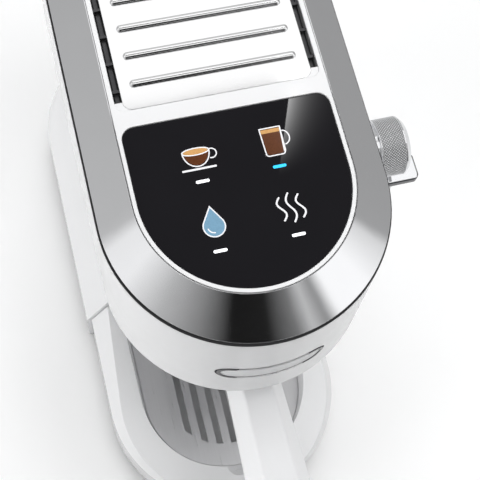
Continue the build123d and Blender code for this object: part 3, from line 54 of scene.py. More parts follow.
Point2 = Tuple[float, float]
Point3 = Tuple[float, float, float]
Colour = Tuple[float, float, float]
Box = Tuple[Vector, Vector]
Material = bpy.types.Material
Socket = bpy.types.NodeSocket
Mesh = bmesh.types.BMesh
Row = List[bmesh.types.BMVert]
FaceTest = Callable[[Sequence[Vector], Vector], bool]
Extras = Sequence[Tuple[str, float]]

MM = 0.001
SHARP_EDGE = math.radians(35.0)
SHELL_WHITE: Colour = (0.84, 0.842, 0.85)
METAL: Extras = (("Metallic", 1.0),)

# Sockets of a mix node that blends colours.
MIX_LOW, MIX_HIGH, MIX_RESULT = 6, 7, 2


@dataclass(frozen=True)
class Pattern:
    """Noise by its scale per metre, its octaves and its stretch along the row axes."""

    scale: float
    detail: float = 3.0
    stretch: Point3 = (1.0, 1.0, 1.0)


Patterns = Tuple[Pattern, ...]


class Grain(Enum):
    """Brush lines along a row axis."""

    Y = Pattern(1600.0, 4.0, (1.0, 0.02, 1.0))
    Z = Pattern(1600.0, 4.0, (1.0, 1.0, 0.02))


class Key(Enum):
    """Places of the four touch keys: column from the left, row from the front."""

    SHORT = (0, 1)
    LONG = (1, 1)
    WATER = (0, 0)
    STEAM = (1, 0)


class Ink(IntEnum):
    """Inks of the key prints, in the order of their finishes."""

    WHITE = 0
    COFFEE = 1
    CREMA = 2
    BLUE = 3


class NodeSheet:
    """Node tree with short calls to add and wire its nodes."""

    def __init__(self, tree: bpy.types.NodeTree) -> None:
        """Take the tree to fill."""
        self.tree = tree

    def node(self, kind: str, **values: object) -> bpy.types.Node:
        """Add a node and set its sockets or properties by name.

        Args:
            kind: Blender node type.
            **values: Socket names with underscores for spaces, or node properties.

        Returns:
            The new node.
        """
        made = self.tree.nodes.new(kind)
        for key, value in values.items():
            socket = made.inputs.get(key.replace("_", " "))
            if socket is not None:
                socket.default_value = value
            else:
                setattr(made, key, value)
        return made

    def link(self, source: Socket, target: Socket) -> None:
        """Wire one socket to another."""
        self.tree.links.new(source, target)

    def maths(self, operation: str, *values: object) -> Socket:
        """Add a maths node.

        Args:
            operation: Operation of the node.
            *values: Sockets or numbers, in the order of its inputs.

        Returns:
            The result's socket.
        """
        made = self.node("ShaderNodeMath", operation=operation)
        for socket, value in zip(made.inputs, values):
            if isinstance(value, float):
                socket.default_value = value
            else:
                self.link(value, socket)
        return made.outputs[0]

    def reach(self, first: Socket, second: Socket) -> Socket:
        """Distance from zero by two coordinates."""
        square = self.maths("MULTIPLY_ADD", first, first, self.maths("MULTIPLY", second, second))
        return self.maths("SQRT", square)

    def spread(
        self, value: Socket, low: float, high: float, span: Point2 = (0.0, 1.0), smooth: bool = False
    ) -> Socket:
        """Map a value to low..high.

        Args:
            value: Incoming value.
            low: Result at the span's start.
            high: Result at its end.
            span: Range of the incoming value.
            smooth: Whether the result eases in and out.

        Returns:
            The mapped value.
        """
        made = self.node("ShaderNodeMapRange", From_Min=span[0], From_Max=span[1], To_Min=low, To_Max=high)
        if smooth:
            made.interpolation_type = "SMOOTHSTEP"
        self.link(value, made.inputs["Value"])
        return made.outputs["Result"]

    def here(self) -> Socket:
        """Object coordinates as a vector."""
        return self.node("ShaderNodeTexCoord").outputs["Object"]

    def axes(self) -> Tuple[Socket, ...]:
        """Add object coordinates, split up.

        Returns:
            The values along X, Y and Z.
        """
        parts = self.node("ShaderNodeSeparateXYZ")
        self.link(self.here(), parts.inputs["Vector"])
        return tuple(parts.outputs)


class ShaderSheet(NodeSheet):
    """Node sheet of a new material with one shader."""

    def __init__(self, name: str, kind: str = "ShaderNodeBsdfPrincipled") -> None:
        """Start the material.

        Args:
            name: Name of the material.
            kind: Blender node type of the shader.
        """
        self.material = bpy.data.materials.new(name)
        self.material.use_nodes = True
        super().__init__(self.material.node_tree)
        self.tree.nodes.clear()
        self.shader = self.node(kind)
        self.link(self.shader.outputs[0], self.node("ShaderNodeOutputMaterial").inputs["Surface"])

    def set(self, **values: object) -> None:
        """Set constants on the shader's own sockets."""
        for key, value in values.items():
            self.shader.inputs[key.replace("_", " ")].default_value = value

    def noise(self, pattern: Pattern) -> Socket:
        """Add a noise pattern in object coordinates.

        Args:
            pattern: Its scale, octaves and stretch.

        Returns:
            The noise value from 0 to 1.
        """
        mapping = self.node("ShaderNodeMapping", Scale=pattern.stretch)
        self.link(self.here(), mapping.inputs["Vector"])
        made = self.node("ShaderNodeTexNoise", Scale=pattern.scale, Detail=pattern.detail, Roughness=0.55)
        self.link(mapping.outputs["Vector"], made.inputs["Vector"])
        return made.outputs["Fac"]

    def colour(
        self, value: Socket, low: Colour, high: Colour, sockets: Sequence[str] = ("Base Color",)
    ) -> None:
        """Blend the surface's colour.

        Args:
            value: Pattern from 0 to 1.
            low: Colour at 0.
            high: Colour at 1.
            sockets: Sockets of the shader that take the colour.
        """
        mix = self.node("ShaderNodeMix", data_type="RGBA")
        self.link(value, mix.inputs["Factor"])
        mix.inputs[MIX_LOW].default_value = (*low, 1.0)
        mix.inputs[MIX_HIGH].default_value = (*high, 1.0)
        for socket in sockets:
            self.link(mix.outputs[MIX_RESULT], self.shader.inputs[socket])

    def roughen(self, value: Socket, low: float, high: float) -> None:
        """Vary the surface's roughness between two values by a pattern from 0 to 1."""
        self.link(self.spread(value, low, high), self.shader.inputs["Roughness"])

    def emboss(self, height: Socket, depth: float, edge: float = 0.0) -> None:
        """Bump the surface, and round its sharp edges a little.

        Args:
            height: Height pattern from 0 to 1.
            depth: Depth of the pattern in metres.
            edge: Radius of the softened edges in metres, or 0 for none.
        """
        bump = self.node("ShaderNodeBump", Distance=depth, Strength=1.0)
        self.link(height, bump.inputs["Height"])
        if edge:
            rounding = self.node("ShaderNodeBevel", samples=4, Radius=edge)
            self.link(rounding.outputs["Normal"], bump.inputs["Normal"])
        self.link(bump.outputs["Normal"], self.shader.inputs["Normal"])


def shade(colour: Colour, factor: float) -> Colour:
    """Scale a colour's brightness."""
    return (colour[0] * factor, colour[1] * factor, colour[2] * factor)


@dataclass(frozen=True)
class Finish:
    """Recipe of a material whose tone, polish and skin each follow a pattern."""

    name: str
    colour: Colour
    roughness: float = 0.3
    haze: Point2 = (0.0, 0.0)
    tones: Point2 = (1.0, 1.0)
    patterns: Patterns = ()
    depth: float = 0.0
    edge: float = 0.0
    sockets: Tuple[str, ...] = ("Base Color",)
    extras: Extras = ()

    def make(self) -> Material:
        """Build the material.

        Returns:
            The new material.
        """
        sheet = ShaderSheet(self.name)
        self._wire(sheet)
        sheet.set(**dict(self.extras))
        return sheet.material

    def _wire(self, sheet: ShaderSheet) -> None:
        """Wire the three patterns.

        Args:
            sheet: Sheet to fill.
        """
        tone, polish, skin = (sheet.noise(pattern) for pattern in self.patterns)
        self._vary(sheet, tone, polish)
        if self.depth:
            sheet.emboss(skin, self.depth, self.edge)

    def _vary(self, sheet: ShaderSheet, tone: Socket, polish: Socket) -> None:
        """Wire a pattern each to the surface's colour and roughness."""
        sheet.colour(tone, *(shade(self.colour, factor) for factor in self.tones), self.sockets)
        sheet.roughen(polish, *(self.roughness + step for step in self.haze))


@dataclass(frozen=True)
class MouldedPlastic(Finish):
    """Injection-moulded plastic with a fine orange-peel skin."""

    haze: Point2 = (-0.03, 0.03)
    tones: Point2 = (0.98, 1.02)
    patterns: Patterns = (Pattern(14.0), Pattern(90.0, 4.0), Pattern(900.0, 2.0))
    depth: float = 0.00002
    edge: float = 0.0005
    extras: Extras = (("IOR", 1.49),)


@dataclass(frozen=True)
class PlatedChrome(Finish):
    """Bright plating with faint polishing haze."""

    colour: Colour = (0.83, 0.835, 0.85)
    roughness: float = 0.06
    haze: Point2 = (0.0, 0.05)
    tones: Point2 = (0.97, 1.02)
    patterns: Patterns = (Pattern(60.0, 5.0), Pattern(60.0, 5.0), Pattern(120.0, 2.0))
    depth: float = 0.000004
    edge: float = 0.0003
    extras: Extras = METAL


@dataclass(frozen=True)
class KnurledChrome(Finish):
    """Plating that is dull in the grooves of a knurl about an axis along X, with painted shade darkening
    them.
    """

    colour: Colour = (0.95, 0.955, 0.97)
    roughness: float = 0.3
    haze: Point2 = (0.2, 0.0)
    # Painted shade: the grooves are tinted down to a tenth of the plating's brightness.
    tones: Point2 = (0.1, 1.0)
    patterns: Patterns = (Pattern(900.0),)
    depth: float = 0.00001
    extras: Extras = (("Metallic", 0.7),)
    axis: Point2 = (0.0, 0.0)
    reach: Point2 = (0.0, 1.0)

    def _wire(self, sheet: ShaderSheet) -> None:
        """Wire polish, and painted shade in the grooves, to the distance from the axis.

        Args:
            sheet: Sheet to fill.
        """
        away = [sheet.maths("SUBTRACT", *pair) for pair in zip(sheet.axes()[1:], self.axis)]
        rise = sheet.spread(sheet.reach(*away), 0.0, 1.0, self.reach)
        self._vary(sheet, rise, rise)
        sheet.emboss(sheet.noise(self.patterns[0]), self.depth)


@dataclass(frozen=True)
class BrushedMetal(Finish):
    """Metal with fine parallel brush lines."""

    haze: Point2 = (-0.08, 0.1)
    tones: Point2 = (0.88, 1.12)
    patterns: Patterns = 3 * (Grain.Y.value,)
    depth: float = 0.00001
    edge: float = 0.0002
    extras: Extras = METAL


@dataclass(frozen=True)
class CastMetal(Finish):
    """Satin casting with a grainy skin and slight staining."""

    roughness: float = 0.38
    haze: Point2 = (-0.06, 0.12)
    tones: Point2 = (0.88, 1.05)
    patterns: Patterns = (Pattern(40.0, 4.0), Pattern(1100.0, 4.0), Pattern(1100.0, 4.0))
    depth: float = 0.00005
    edge: float = 0.0004
    extras: Extras = METAL


@dataclass(frozen=True)
class BackedGlass(Finish):
    """Black-backed cover glass with a faint dust haze."""

    colour: Colour = (0.011, 0.0105, 0.0125)
    roughness: float = 0.006
    haze: Point2 = (0.0, 0.012)
    tones: Point2 = (0.9, 1.12)
    patterns: Patterns = (Pattern(35.0, 5.0), Pattern(35.0, 5.0), Pattern(60.0, 1.0))
    depth: float = 0.000001
    edge: float = 0.0004
    extras: Extras = (("IOR", 1.5),)


@dataclass(frozen=True)
class ClearMoulding(Finish):
    """Clear plastic with a little upright flow streaking."""

    roughness: float = 0.06
    haze: Point2 = (0.0, 0.05)
    tones: Point2 = (0.96, 1.02)
    patterns: Patterns = 3 * (Pattern(120.0, 3.0, (1.0, 1.0, 0.15)),)
    depth: float = 0.00001
    edge: float = 0.0006
    extras: Extras = (("Transmission Weight", 0.9), ("IOR", 1.46))


@dataclass(frozen=True)
class SoftRubber(Finish):
    """Matt rubber with a fine grain and a chalky bloom."""

    roughness: float = 0.75
    haze: Point2 = (-0.1, 0.1)
    tones: Point2 = (0.85, 1.25)
    patterns: Patterns = (Pattern(45.0, 4.0), Pattern(1500.0), Pattern(1500.0))
    depth: float = 0.00004
    edge: float = 0.0005
    extras: Extras = (("Specular IOR Level", 0.35),)


@dataclass(frozen=True)
class CircuitBoard(Finish):
    """Lacquered board with copper tracks under the lacquer."""

    colour: Colour = (0.02, 0.11, 0.05)
    track: Colour = (0.05, 0.2, 0.08)
    roughness: float = 0.25
    haze: Point2 = (0.0, 0.15)
    patterns: Patterns = (Pattern(300.0),)
    depth: float = 0.00003
    extras: Extras = (("Coat Weight", 0.4),)
    grid_scale: float = 160.0
    track_width: float = 0.06

    def _wire(self, sheet: ShaderSheet) -> None:
        """Wire a grid of tracks.

        Args:
            sheet: Sheet to fill.
        """
        bricks = sheet.node(
            "ShaderNodeTexBrick", Scale=self.grid_scale, Mortar_Size=self.track_width,
            Color1=(0.0, 0.0, 0.0, 1.0), Color2=(0.1, 0.1, 0.1, 1.0), Mortar=(1.0, 1.0, 1.0, 1.0),
        )
        sheet.link(sheet.here(), bricks.inputs["Vector"])
        tracks = bricks.outputs["Fac"]
        sheet.colour(tracks, self.colour, self.track)
        sheet.roughen(sheet.noise(self.patterns[0]), *(self.roughness + step for step in self.haze))
        sheet.emboss(tracks, self.depth)


@dataclass(frozen=True)
class PanelPrint(Finish):
    """Mottled print with an even faint glow, lit from below behind the cover glass; on the power rocker the
    glow is painted light.
    """

    roughness: float = 0.1
    haze: Point2 = (0.0, 0.1)
    tones: Point2 = (0.92, 1.08)
    patterns: Patterns = 3 * (Pattern(1200.0, 2.0),)
    sockets: Tuple[str, ...] = ("Base Color", "Emission Color")
    extras: Extras = (("Emission Strength", 0.25),)


class Look(Enum):
    """All finishes of the machine."""

    WHITE_SHELL = MouldedPlastic(
        "white_shell_gloss", SHELL_WHITE, 0.22,
        extras=(("IOR", 1.49), ("Coat Weight", 0.3), ("Coat Roughness", 0.06)),
    )
    WHITE_HANDLE = MouldedPlastic("white_handle_satin", SHELL_WHITE, 0.34, depth=0.00003)
    GREY_PLASTIC = MouldedPlastic("grey_moulding", (0.1, 0.1, 0.105), 0.5, depth=0.00006)
    BLACK_PLASTIC = MouldedPlastic("black_moulding", (0.012, 0.012, 0.013), 0.42, depth=0.00005)
    CHROME = PlatedChrome("chrome_plating")
    MIRROR_PLATE = PlatedChrome("polished_plate", (0.9, 0.9, 0.905), 0.05, (0.0, 0.04))
    # Chrome darkened to stand for shade at the badge's ends and the hub's edge: painted shade.
    SMOKED_CHROME = PlatedChrome("smoked_chrome", (0.1, 0.1, 0.105), 0.18)
    SATIN_CHROME = PlatedChrome("satin_chrome", (0.5, 0.5, 0.51), 0.25)
    # Steel darkened to stand for shade in the cup plate's slots: painted shade.
    DIM_STEEL = BrushedMetal("dim_steel", (0.13, 0.13, 0.135), 0.4)
    GRID_STEEL = BrushedMetal("grid_steel", (0.66, 0.66, 0.67), tones=(0.95, 1.05))
    ROUND_STEEL = BrushedMetal("wand_steel", (0.62, 0.62, 0.63), 0.2, patterns=3 * (Grain.Z.value,))
    CASTING = CastMetal("satin_casting", (0.58, 0.58, 0.59))
    BRASS = CastMetal(
        "machined_brass", (0.62, 0.42, 0.16), 0.3, depth=0.00002,
        patterns=(Pattern(40.0, 4.0), Pattern(700.0, 4.0), Pattern(700.0, 4.0)),
    )
    GLASS = BackedGlass("panel_cover_glass")
    CLEAR = ClearMoulding("clear_tank_moulding", (0.86, 0.9, 0.93))
    RUBBER = SoftRubber("black_rubber", (0.025, 0.025, 0.026))
    SILICONE = SoftRubber("milky_silicone", (0.62, 0.62, 0.6), 0.5)
    BOARD = CircuitBoard("circuit_board")
    PRINT_WHITE = PanelPrint("print_white", (0.78, 0.78, 0.8))
    PRINT_COFFEE = PanelPrint("print_coffee", (0.09, 0.028, 0.009), tones=(0.75, 1.25))
    PRINT_CREMA = PanelPrint("print_crema", (0.55, 0.3, 0.11), tones=(0.8, 1.2))
    PRINT_BLUE = PanelPrint("print_blue", (0.16, 0.3, 0.42), tones=(0.85, 1.15))
    LIGHT_WHITE = PanelPrint("key_light_white", (0.95, 0.96, 1.0), extras=(("Emission Strength", 0.7),))
    LIGHT_BLUE = PanelPrint("key_light_blue", (0.03, 0.42, 0.78), extras=(("Emission Strength", 1.0),))

    @cached_property
    def material(self) -> Material:
        """The finish's material, built at its first use."""
        return self.value.make()


Plan = Dict[Look, Sequence[str]]


def dress(node: str, look: Look) -> None:
    """Give a CAD node a finish and shade its curved faces smoothly.

    Args:
        node: Name of the CAD node.
        look: Finish to give it.
    """
    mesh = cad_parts[node].data
    mesh.materials.clear()
    mesh.materials.append(look.material)
    mesh.set_sharp_from_angle(angle=SHARP_EDGE)
    log.info("dressed %s in %s", node, look.material.name)


def paint(node: str, look: Look, wanted: FaceTest) -> None:
    """Give some faces of a CAD node another finish.

    Args:
        node: Name of the CAD node.
        look: Finish for those faces.
        wanted: Tells by a face's corners and normal whether it is meant.
    """
    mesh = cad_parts[node].data
    mesh.materials.append(look.material)
    index = len(mesh.materials) - 1
    count = 0
    for face in mesh.polygons:
        if wanted([mesh.vertices[i].co for i in face.vertices], face.normal):
            face.material_index = index
            count += 1
    log.info("painted %d faces of %s in %s", count, node, look.material.name)


def new_piece(
    name: str, work: Mesh, body: str, materials: Sequence[Material], smooth: bool = False
) -> bpy.types.Object:
    """Turn a bmesh into a piece that rides on a body.

    Args:
        name: Name of the piece.
        work: Finished bmesh, which is freed.
        body: CAD body that carries the piece.
        materials: Finishes in the order of the faces' indices.
        smooth: Whether faces are shaded smoothly.

    Returns:
        The new object.
    """
    mesh = bpy.data.meshes.new(name)
    work.normal_update()
    work.to_mesh(mesh)
    work.free()
    for material in materials:
        mesh.materials.append(material)
    if smooth:
        mesh.shade_smooth()
        mesh.set_sharp_from_angle(angle=SHARP_EDGE)
    piece = bpy.data.objects.new(name, mesh)
    bpy.context.scene.collection.objects.link(piece)
    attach(piece, body)
    log.info("added %s on %s", name, body)
    return piece


def arc(centre: Point2, radius: Point2, start: float, end: float, steps: int = 24) -> List[Point2]:
    """Points along an ellipse.

    Args:
        centre: Middle of the ellipse.
        radius: Half sizes along both axes.
        start: First angle in degrees.
        end: Last angle in degrees.
        steps: Number of steps.

    Returns:
        The points in order.
    """
    points = []
    for step in range(steps + 1):
        angle = math.radians(start + (end - start) * step / steps)
        points.append((centre[0] + radius[0] * math.cos(angle), centre[1] + radius[1] * math.sin(angle)))
    return points


def bridge(work: Mesh, first: Row, second: Row, closed: bool = False, index: int = 0) -> None:
    """Join two rows of vertices with faces.

    Args:
        work: Mesh to add to.
        first: One row.
        second: The other row, of the same length.
        closed: Whether each row's last vertex joins its first.
        index: Index of the faces' finish.
    """
    count = len(first)
    for step in range(count if closed else count - 1):
        following = (step + 1) % count
        face = work.faces.new((first[step], first[following], second[following], second[step]))
        face.material_index = index


def block(work: Mesh, centre: Point3, size: Point3) -> None:
    """Add a box to a mesh, by its middle and its edge lengths."""
    shape = Matrix.Translation(centre) @ Matrix.Diagonal((*size, 1.0))
    bmesh.ops.create_cube(work, size=1.0, matrix=shape)


def inside(point: Vector, box: Box) -> bool:
    """Whether a point lies in a box."""
    return all(box[0][i] <= point[i] <= box[1][i] for i in range(3))


@dataclass
class FlatPrint:
    """Flat artwork gathered in one mesh, drawn in millimetres on a level plane."""

    origin: Point3
    work: Mesh = field(default_factory=bmesh.new)
    layer: float = 0.004
    sharpest: float = 0.5
    end_steps: int = 8

    def _vertex(self, point: Point2, layer: int) -> bmesh.types.BMVert:
        """Add one vertex at a point of the artwork."""
        x, y = (start + along * MM for start, along in zip(self.origin, point))
        return self.work.verts.new((x, y, self.origin[2] + layer * self.layer * MM))

    def fill(self, points: Sequence[Point2], ink: Ink, layer: int = 1) -> None:
        """Fill a simple outline.

        Args:
            points: Outline, anticlockwise.
            ink: Index of the finish.
            layer: Height step above the plane.
        """
        face = self.work.faces.new([self._vertex(point, layer) for point in points])
        face.material_index = ink
        if face.normal.z < 0:
            face.normal_flip()

    def stroke(
        self, points: Sequence[Point2], width: float, closed: bool = False, layer: int = 2,
        ink: Ink = Ink.WHITE,
    ) -> None:
        """Draw a line of even width through points, with round ends.

        Args:
            points: Points of the line.
            width: Width in millimetres.
            closed: Whether the last point joins the first.
            layer: Height step above the plane.
            ink: Index of the finish.
        """
        spots = [Vector(point) for point in points]
        runs = [(after - spot).normalized() for spot, after in zip(spots, spots[1:] + spots[:1])]
        if not closed:
            runs[-1] = runs[-2]
        left: Row = []
        right: Row = []
        for index, spot in enumerate(spots):
            before = runs[index - 1] if closed or index else runs[index]
            along = (before + runs[index]).normalized()
            reach = width / 2 / max(self.sharpest, along.dot(runs[index]))
            offset = Vector((-along.y, along.x)) * reach
            left.append(self._vertex(tuple(spot + offset), layer))
            right.append(self._vertex(tuple(spot - offset), layer))
        bridge(self.work, right, left, closed, ink)
        if not closed:
            for end, inner in ((points[0], points[1]), (points[-1], points[-2])):
                away = math.degrees(math.atan2(end[1] - inner[1], end[0] - inner[0]))
                outline = arc(end, (width / 2, width / 2), away - 90, away + 90, self.end_steps)
                self.fill(outline, ink, layer)


class SubAssembly:
    """Group of CAD nodes, their finishes and the details that the scene adds."""

    plan: ClassVar[Plan] = {}

    def build(self) -> None:
        """Dress the nodes and add the details."""
        for look, nodes in self.plan.items():
            for node in nodes:
                dress(node, look)
        self.detail()

    def detail(self) -> None:
        """Add nothing, unless the group has details of its own."""


@dataclass
class TouchPanel(SubAssembly):
    """Cover glass with four key prints and their lights, board and light guides below."""

    print_rise: float = 12.5
    bar_size: Point2 = (6.0, 1.4)
    line: float = 0.55
    vapour_line: float = 0.8
    saucer_line: float = 0.9
    curl_steps: int = 24

    plan: ClassVar[Plan] = {
        Look.GLASS: ("panel_glass",),
        Look.BOARD: ("control_board",),
        Look.CLEAR: ("light_guides",),
    }

    def detail(self) -> None:
        """Draw the pictogram and the light bar of each key on the glass."""
        prints = (Look.PRINT_WHITE, Look.PRINT_COFFEE, Look.PRINT_CREMA, Look.PRINT_BLUE)
        inks = [look.material for look in prints]
        draw = {
            Key.SHORT: self._small_cup, Key.LONG: self._mug, Key.WATER: self._drop, Key.STEAM: self._vapour,
        }
        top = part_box("panel_glass")[1].z
        length, width = self.bar_size
        half = (length - width) / 2
        for key in Key:
            x, y = self._centre(key)
            art = FlatPrint((x * MM, (y + self.print_rise) * MM, top))
            draw[key](art)
            new_piece(f"key_print_{key.name.lower()}", art.work, "machine", inks)
        for key in Key:
            x, y = self._centre(key)
            bar = FlatPrint((0.0, 0.0, top))
            bar.stroke([(x - half, y), (x + half, y)], width, layer=1)
            light = Look.LIGHT_BLUE if key is Key.LONG else Look.LIGHT_WHITE
            new_piece(f"key_light_{key.name.lower()}", bar.work, "machine", [light.material])

    def _centre(self, key: Key) -> Point2:
        """Find the middle of a key's light bar, over its light guide.

        Args:
            key: The key.

        Returns:
            The point in millimetres.
        """
        corners = [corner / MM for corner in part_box("light_guides")]
        column, row = (1 - 2 * place for place in key.value)
        x, y = corners[key.value[0]].x, corners[key.value[1]].y
        return (x + column * self.bar_size[0] / 2, y + row * self.bar_size[1] / 2)

    def _small_cup(self, art: FlatPrint) -> None:
        """Draw a low cup on a saucer.

        Args:
            art: Print to draw on.
        """
        art.fill(arc((0, 1.6), (5.4, 6.4), 180, 360), Ink.COFFEE)
        art.fill(arc((0, 1.6), (5.4, 1.3), 0, 360, 36), Ink.CREMA, 3)
        art.stroke(arc((0, 1.6), (5.9, 7.0), 180, 360), self.line)
        art.stroke(arc((0, 1.6), (5.9, 1.6), 0, 360, 36)[:-1], self.line, True, 4)
        art.stroke(arc((6.6, -0.4), (2.2, 2.2), -110, 110), self.line)
        art.stroke([(-7.2, -6.6), (7.2, -6.6)], self.saucer_line)

    def _mug(self, art: FlatPrint) -> None:
        """Draw a tall mug.

        Args:
            art: Print to draw on.
        """
        coffee = [(-4.1, 3.6), (-3.7, -6.0), (-2.8, -6.7), (2.8, -6.7), (3.7, -6.0), (4.1, 3.6)]
        crema = [(-4.1, 3.6), (4.1, 3.6), (4.25, 5.4), (-4.25, 5.4)]
        base = arc((3.0, -6.0), (1.2, 1.2), 360, 270, 8) + arc((-3.0, -6.0), (1.2, 1.2), 270, 180, 8)
        art.fill(coffee, Ink.COFFEE)
        art.fill(crema, Ink.CREMA)
        art.stroke([(4.6, 6.0), (4.2, -6.0)] + base + [(-4.2, -6.0), (-4.6, 6.0)], self.line, True)
        art.stroke(arc((4.7, 0.4), (3.0, 3.4), -80, 80), self.line)

    def _drop(self, art: FlatPrint) -> None:
        """Draw a water drop with a ripple.

        Args:
            art: Print to draw on.
        """
        body = [(0.0, 7.6)] + arc((0, -1.4), (4.7, 4.7), 152, 388, 36)
        art.fill(body, Ink.BLUE)
        art.stroke(body, self.line, True)
        art.stroke(arc((0, -1.4), (2.9, 2.9), 195, 265, 12), self.line, False, 4)

    def _vapour(self, art: FlatPrint) -> None:
        """Draw three curls of vapour.

        Args:
            art: Print to draw on.
        """
        for shift, height in ((-4.2, 0.8), (0.0, 1.0), (4.2, 0.8)):
            curl = []
            for step in range(self.curl_steps + 1):
                share = step / self.curl_steps
                curl.append((shift + 1.5 * math.sin(share * 2 * math.pi), (-6.6 + 13.2 * share) * height))
            art.stroke(curl, self.vapour_line)


@dataclass
class BodyShells(SubAssembly):
    """Outer shells: base, column, head, trim, top frame and cup-warming plate."""

    slot: float = 3.6
    corner: float = 4.0
    corner_steps: int = 10
    web_drop: float = 0.5
    web_thickness: float = 1.2
    web_edges: Point3 = (0.2, 0.15, 0.25)
    rail_size: Point2 = (1.9, 0.8)
    rail_inset: float = 4.2
    rail_drop: float = 4.2
    well_margin: Point3 = (0.6, 0.6, 0.1)
    deck_margin: float = 0.2
    bridge_margin: float = 0.1
    badge_margin: Point3 = (2.0, 2.0, 1.5)
    badge_dark_end: float = 16.0
    rim_height: float = 0.15
    groove: Point2 = (-0.3, 0.1)
    head_radius: float = 65.0
    head_lean: float = 3.5
    head_height: float = 71.5

    plan: ClassVar[Plan] = {
        Look.WHITE_SHELL: ("base_housing", "column_shell", "head_shell", "top_frame"),
        Look.CHROME: ("chrome_trim",),
        Look.RUBBER: ("trim_seal",),
        Look.WHITE_HANDLE: ("badge_plate",),
        Look.MIRROR_PLATE: ("cup_plate",),
    }

    def detail(self) -> None:
        """Finish the cup plate's well and slots, and the badge."""
        self._cup_well()
        self._rails()
        self._badge()

    def _cup_well(self) -> None:
        """Paint shade into the well under the cup plate as black, and onto the plate's side bridges as
        darkened steel.
        """
        low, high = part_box("cup_plate")
        margin = Vector(self.well_margin) * MM
        well = (low - margin, high + margin)
        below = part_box("top_frame")[1].z - self.deck_margin * MM
        edge = high.x - (self.slot - self.bridge_margin) * MM
        # Painted shade: the white frame's faces in the well under the cup plate are made black.
        paint(
            "top_frame", Look.BLACK_PLASTIC,
            lambda points, normal: normal.z > -0.5 and all(p.z < below and inside(p, well) for p in points),
        )
        # Painted shade: the plate's bridges over the side slots get darkened steel.
        paint("cup_plate", Look.DIM_STEEL, lambda points, normal: min(abs(p.x) for p in points) > edge)

    def _rails(self) -> None:
        """Lay a steel rail in each side slot, and close the slots at the front corners."""
        low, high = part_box("cup_plate")
        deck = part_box("top_frame")[1].z
        width, height = self.rail_size
        size = (width * MM, high.y - low.y - 2 * self.rail_inset * MM, height * MM)
        middle = (high.x - self.slot * MM / 2, (low.y + high.y) / 2, deck - self.rail_drop * MM)
        rails = bmesh.new()
        corners = bmesh.new()
        for side in (-1, 1):
            block(rails, (side * middle[0], *middle[1:]), size)
            self._corner_web(corners, side, deck - self.web_drop * MM)
        # The rails get the darkened steel too, painted shade for the slot they lie in.
        new_piece("slot_rails", rails, "machine", [Look.DIM_STEEL.material])
        new_piece("slot_corners", corners, "machine", [Look.WHITE_SHELL.material])

    def _corner_web(self, work: Mesh, side: int, top: float) -> None:
        """Add the flat web between the plate's and the frame's front corner.

        Args:
            work: Mesh to add to.
            side: -1 for the left corner, 1 for the right one.
            top: Height of the web's face.
        """
        low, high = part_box("cup_plate")
        radius = self.corner * MM
        overlap, side_gap, front_gap = (length * MM for length in self.web_edges)
        lines = []
        for x, y in (
            (high.x - self.slot * MM + overlap, low.y), (high.x + side_gap, low.y - front_gap),
        ):
            line = arc((x - radius, y + radius), (radius, radius), -90, 0, self.corner_steps)
            lines.append(line + [(x, low.y + self.rail_inset * MM)])
        rows = []
        for level in (top, top - self.web_thickness * MM):
            for line in lines:
                rows.append([work.verts.new((side * x, y, level)) for x, y in line])
        for first, second in ((0, 1), (0, 2), (1, 3)):
            bridge(work, rows[first], rows[second])
        work.faces.new([rows[index][-1] for index in (0, 1, 3, 2)])
        bmesh.ops.recalc_face_normals(work, faces=work.faces)

    def _badge(self) -> None:
        """Make the badge's raised rim metal, with painted shade darkening its ends and, at the ends, the
        groove round it.
        """
        low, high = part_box("badge_plate")
        margin = Vector(self.badge_margin) * MM
        seat = (low - margin, high + margin)
        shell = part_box("head_shell")[0]
        axis_y = shell.y + self.head_radius * MM
        lean = self.head_lean / self.head_height

        def heights(points: Sequence[Vector]) -> List[float]:
            """Heights of points over the head's leaning round skin, in millimetres."""
            flat = [(p.x, p.y - axis_y - (p.z - shell.z) * lean) for p in points]
            return [math.hypot(*spot) / MM - self.head_radius for spot in flat]

        def at_end(points: Sequence[Vector]) -> bool:
            """Whether a face lies at one of the badge's ends."""
            return abs(points[0].x) > self.badge_dark_end * MM

        def rim(points: Sequence[Vector]) -> bool:
            """Whether a face belongs to the raised rim."""
            return max(heights(points)) > self.rim_height

        def groove(points: Sequence[Vector]) -> bool:
            """Whether a face belongs to the sunk seat round the badge."""
            sunk = min(heights(points)) < self.groove[0] and max(heights(points)) < self.groove[1]
            return sunk and all(inside(p, seat) for p in points)

        # Painted shade: the rim's ends get darkened chrome, and the groove round them is made black.
        paint("badge_plate", Look.SATIN_CHROME, lambda points, normal: rim(points) and not at_end(points))
        paint("badge_plate", Look.SMOKED_CHROME, lambda points, normal: rim(points) and at_end(points))
        paint(
            "head_shell", Look.BLACK_PLASTIC,
            lambda points, normal: normal.y < 0.5 and at_end(points) and groove(points),
        )


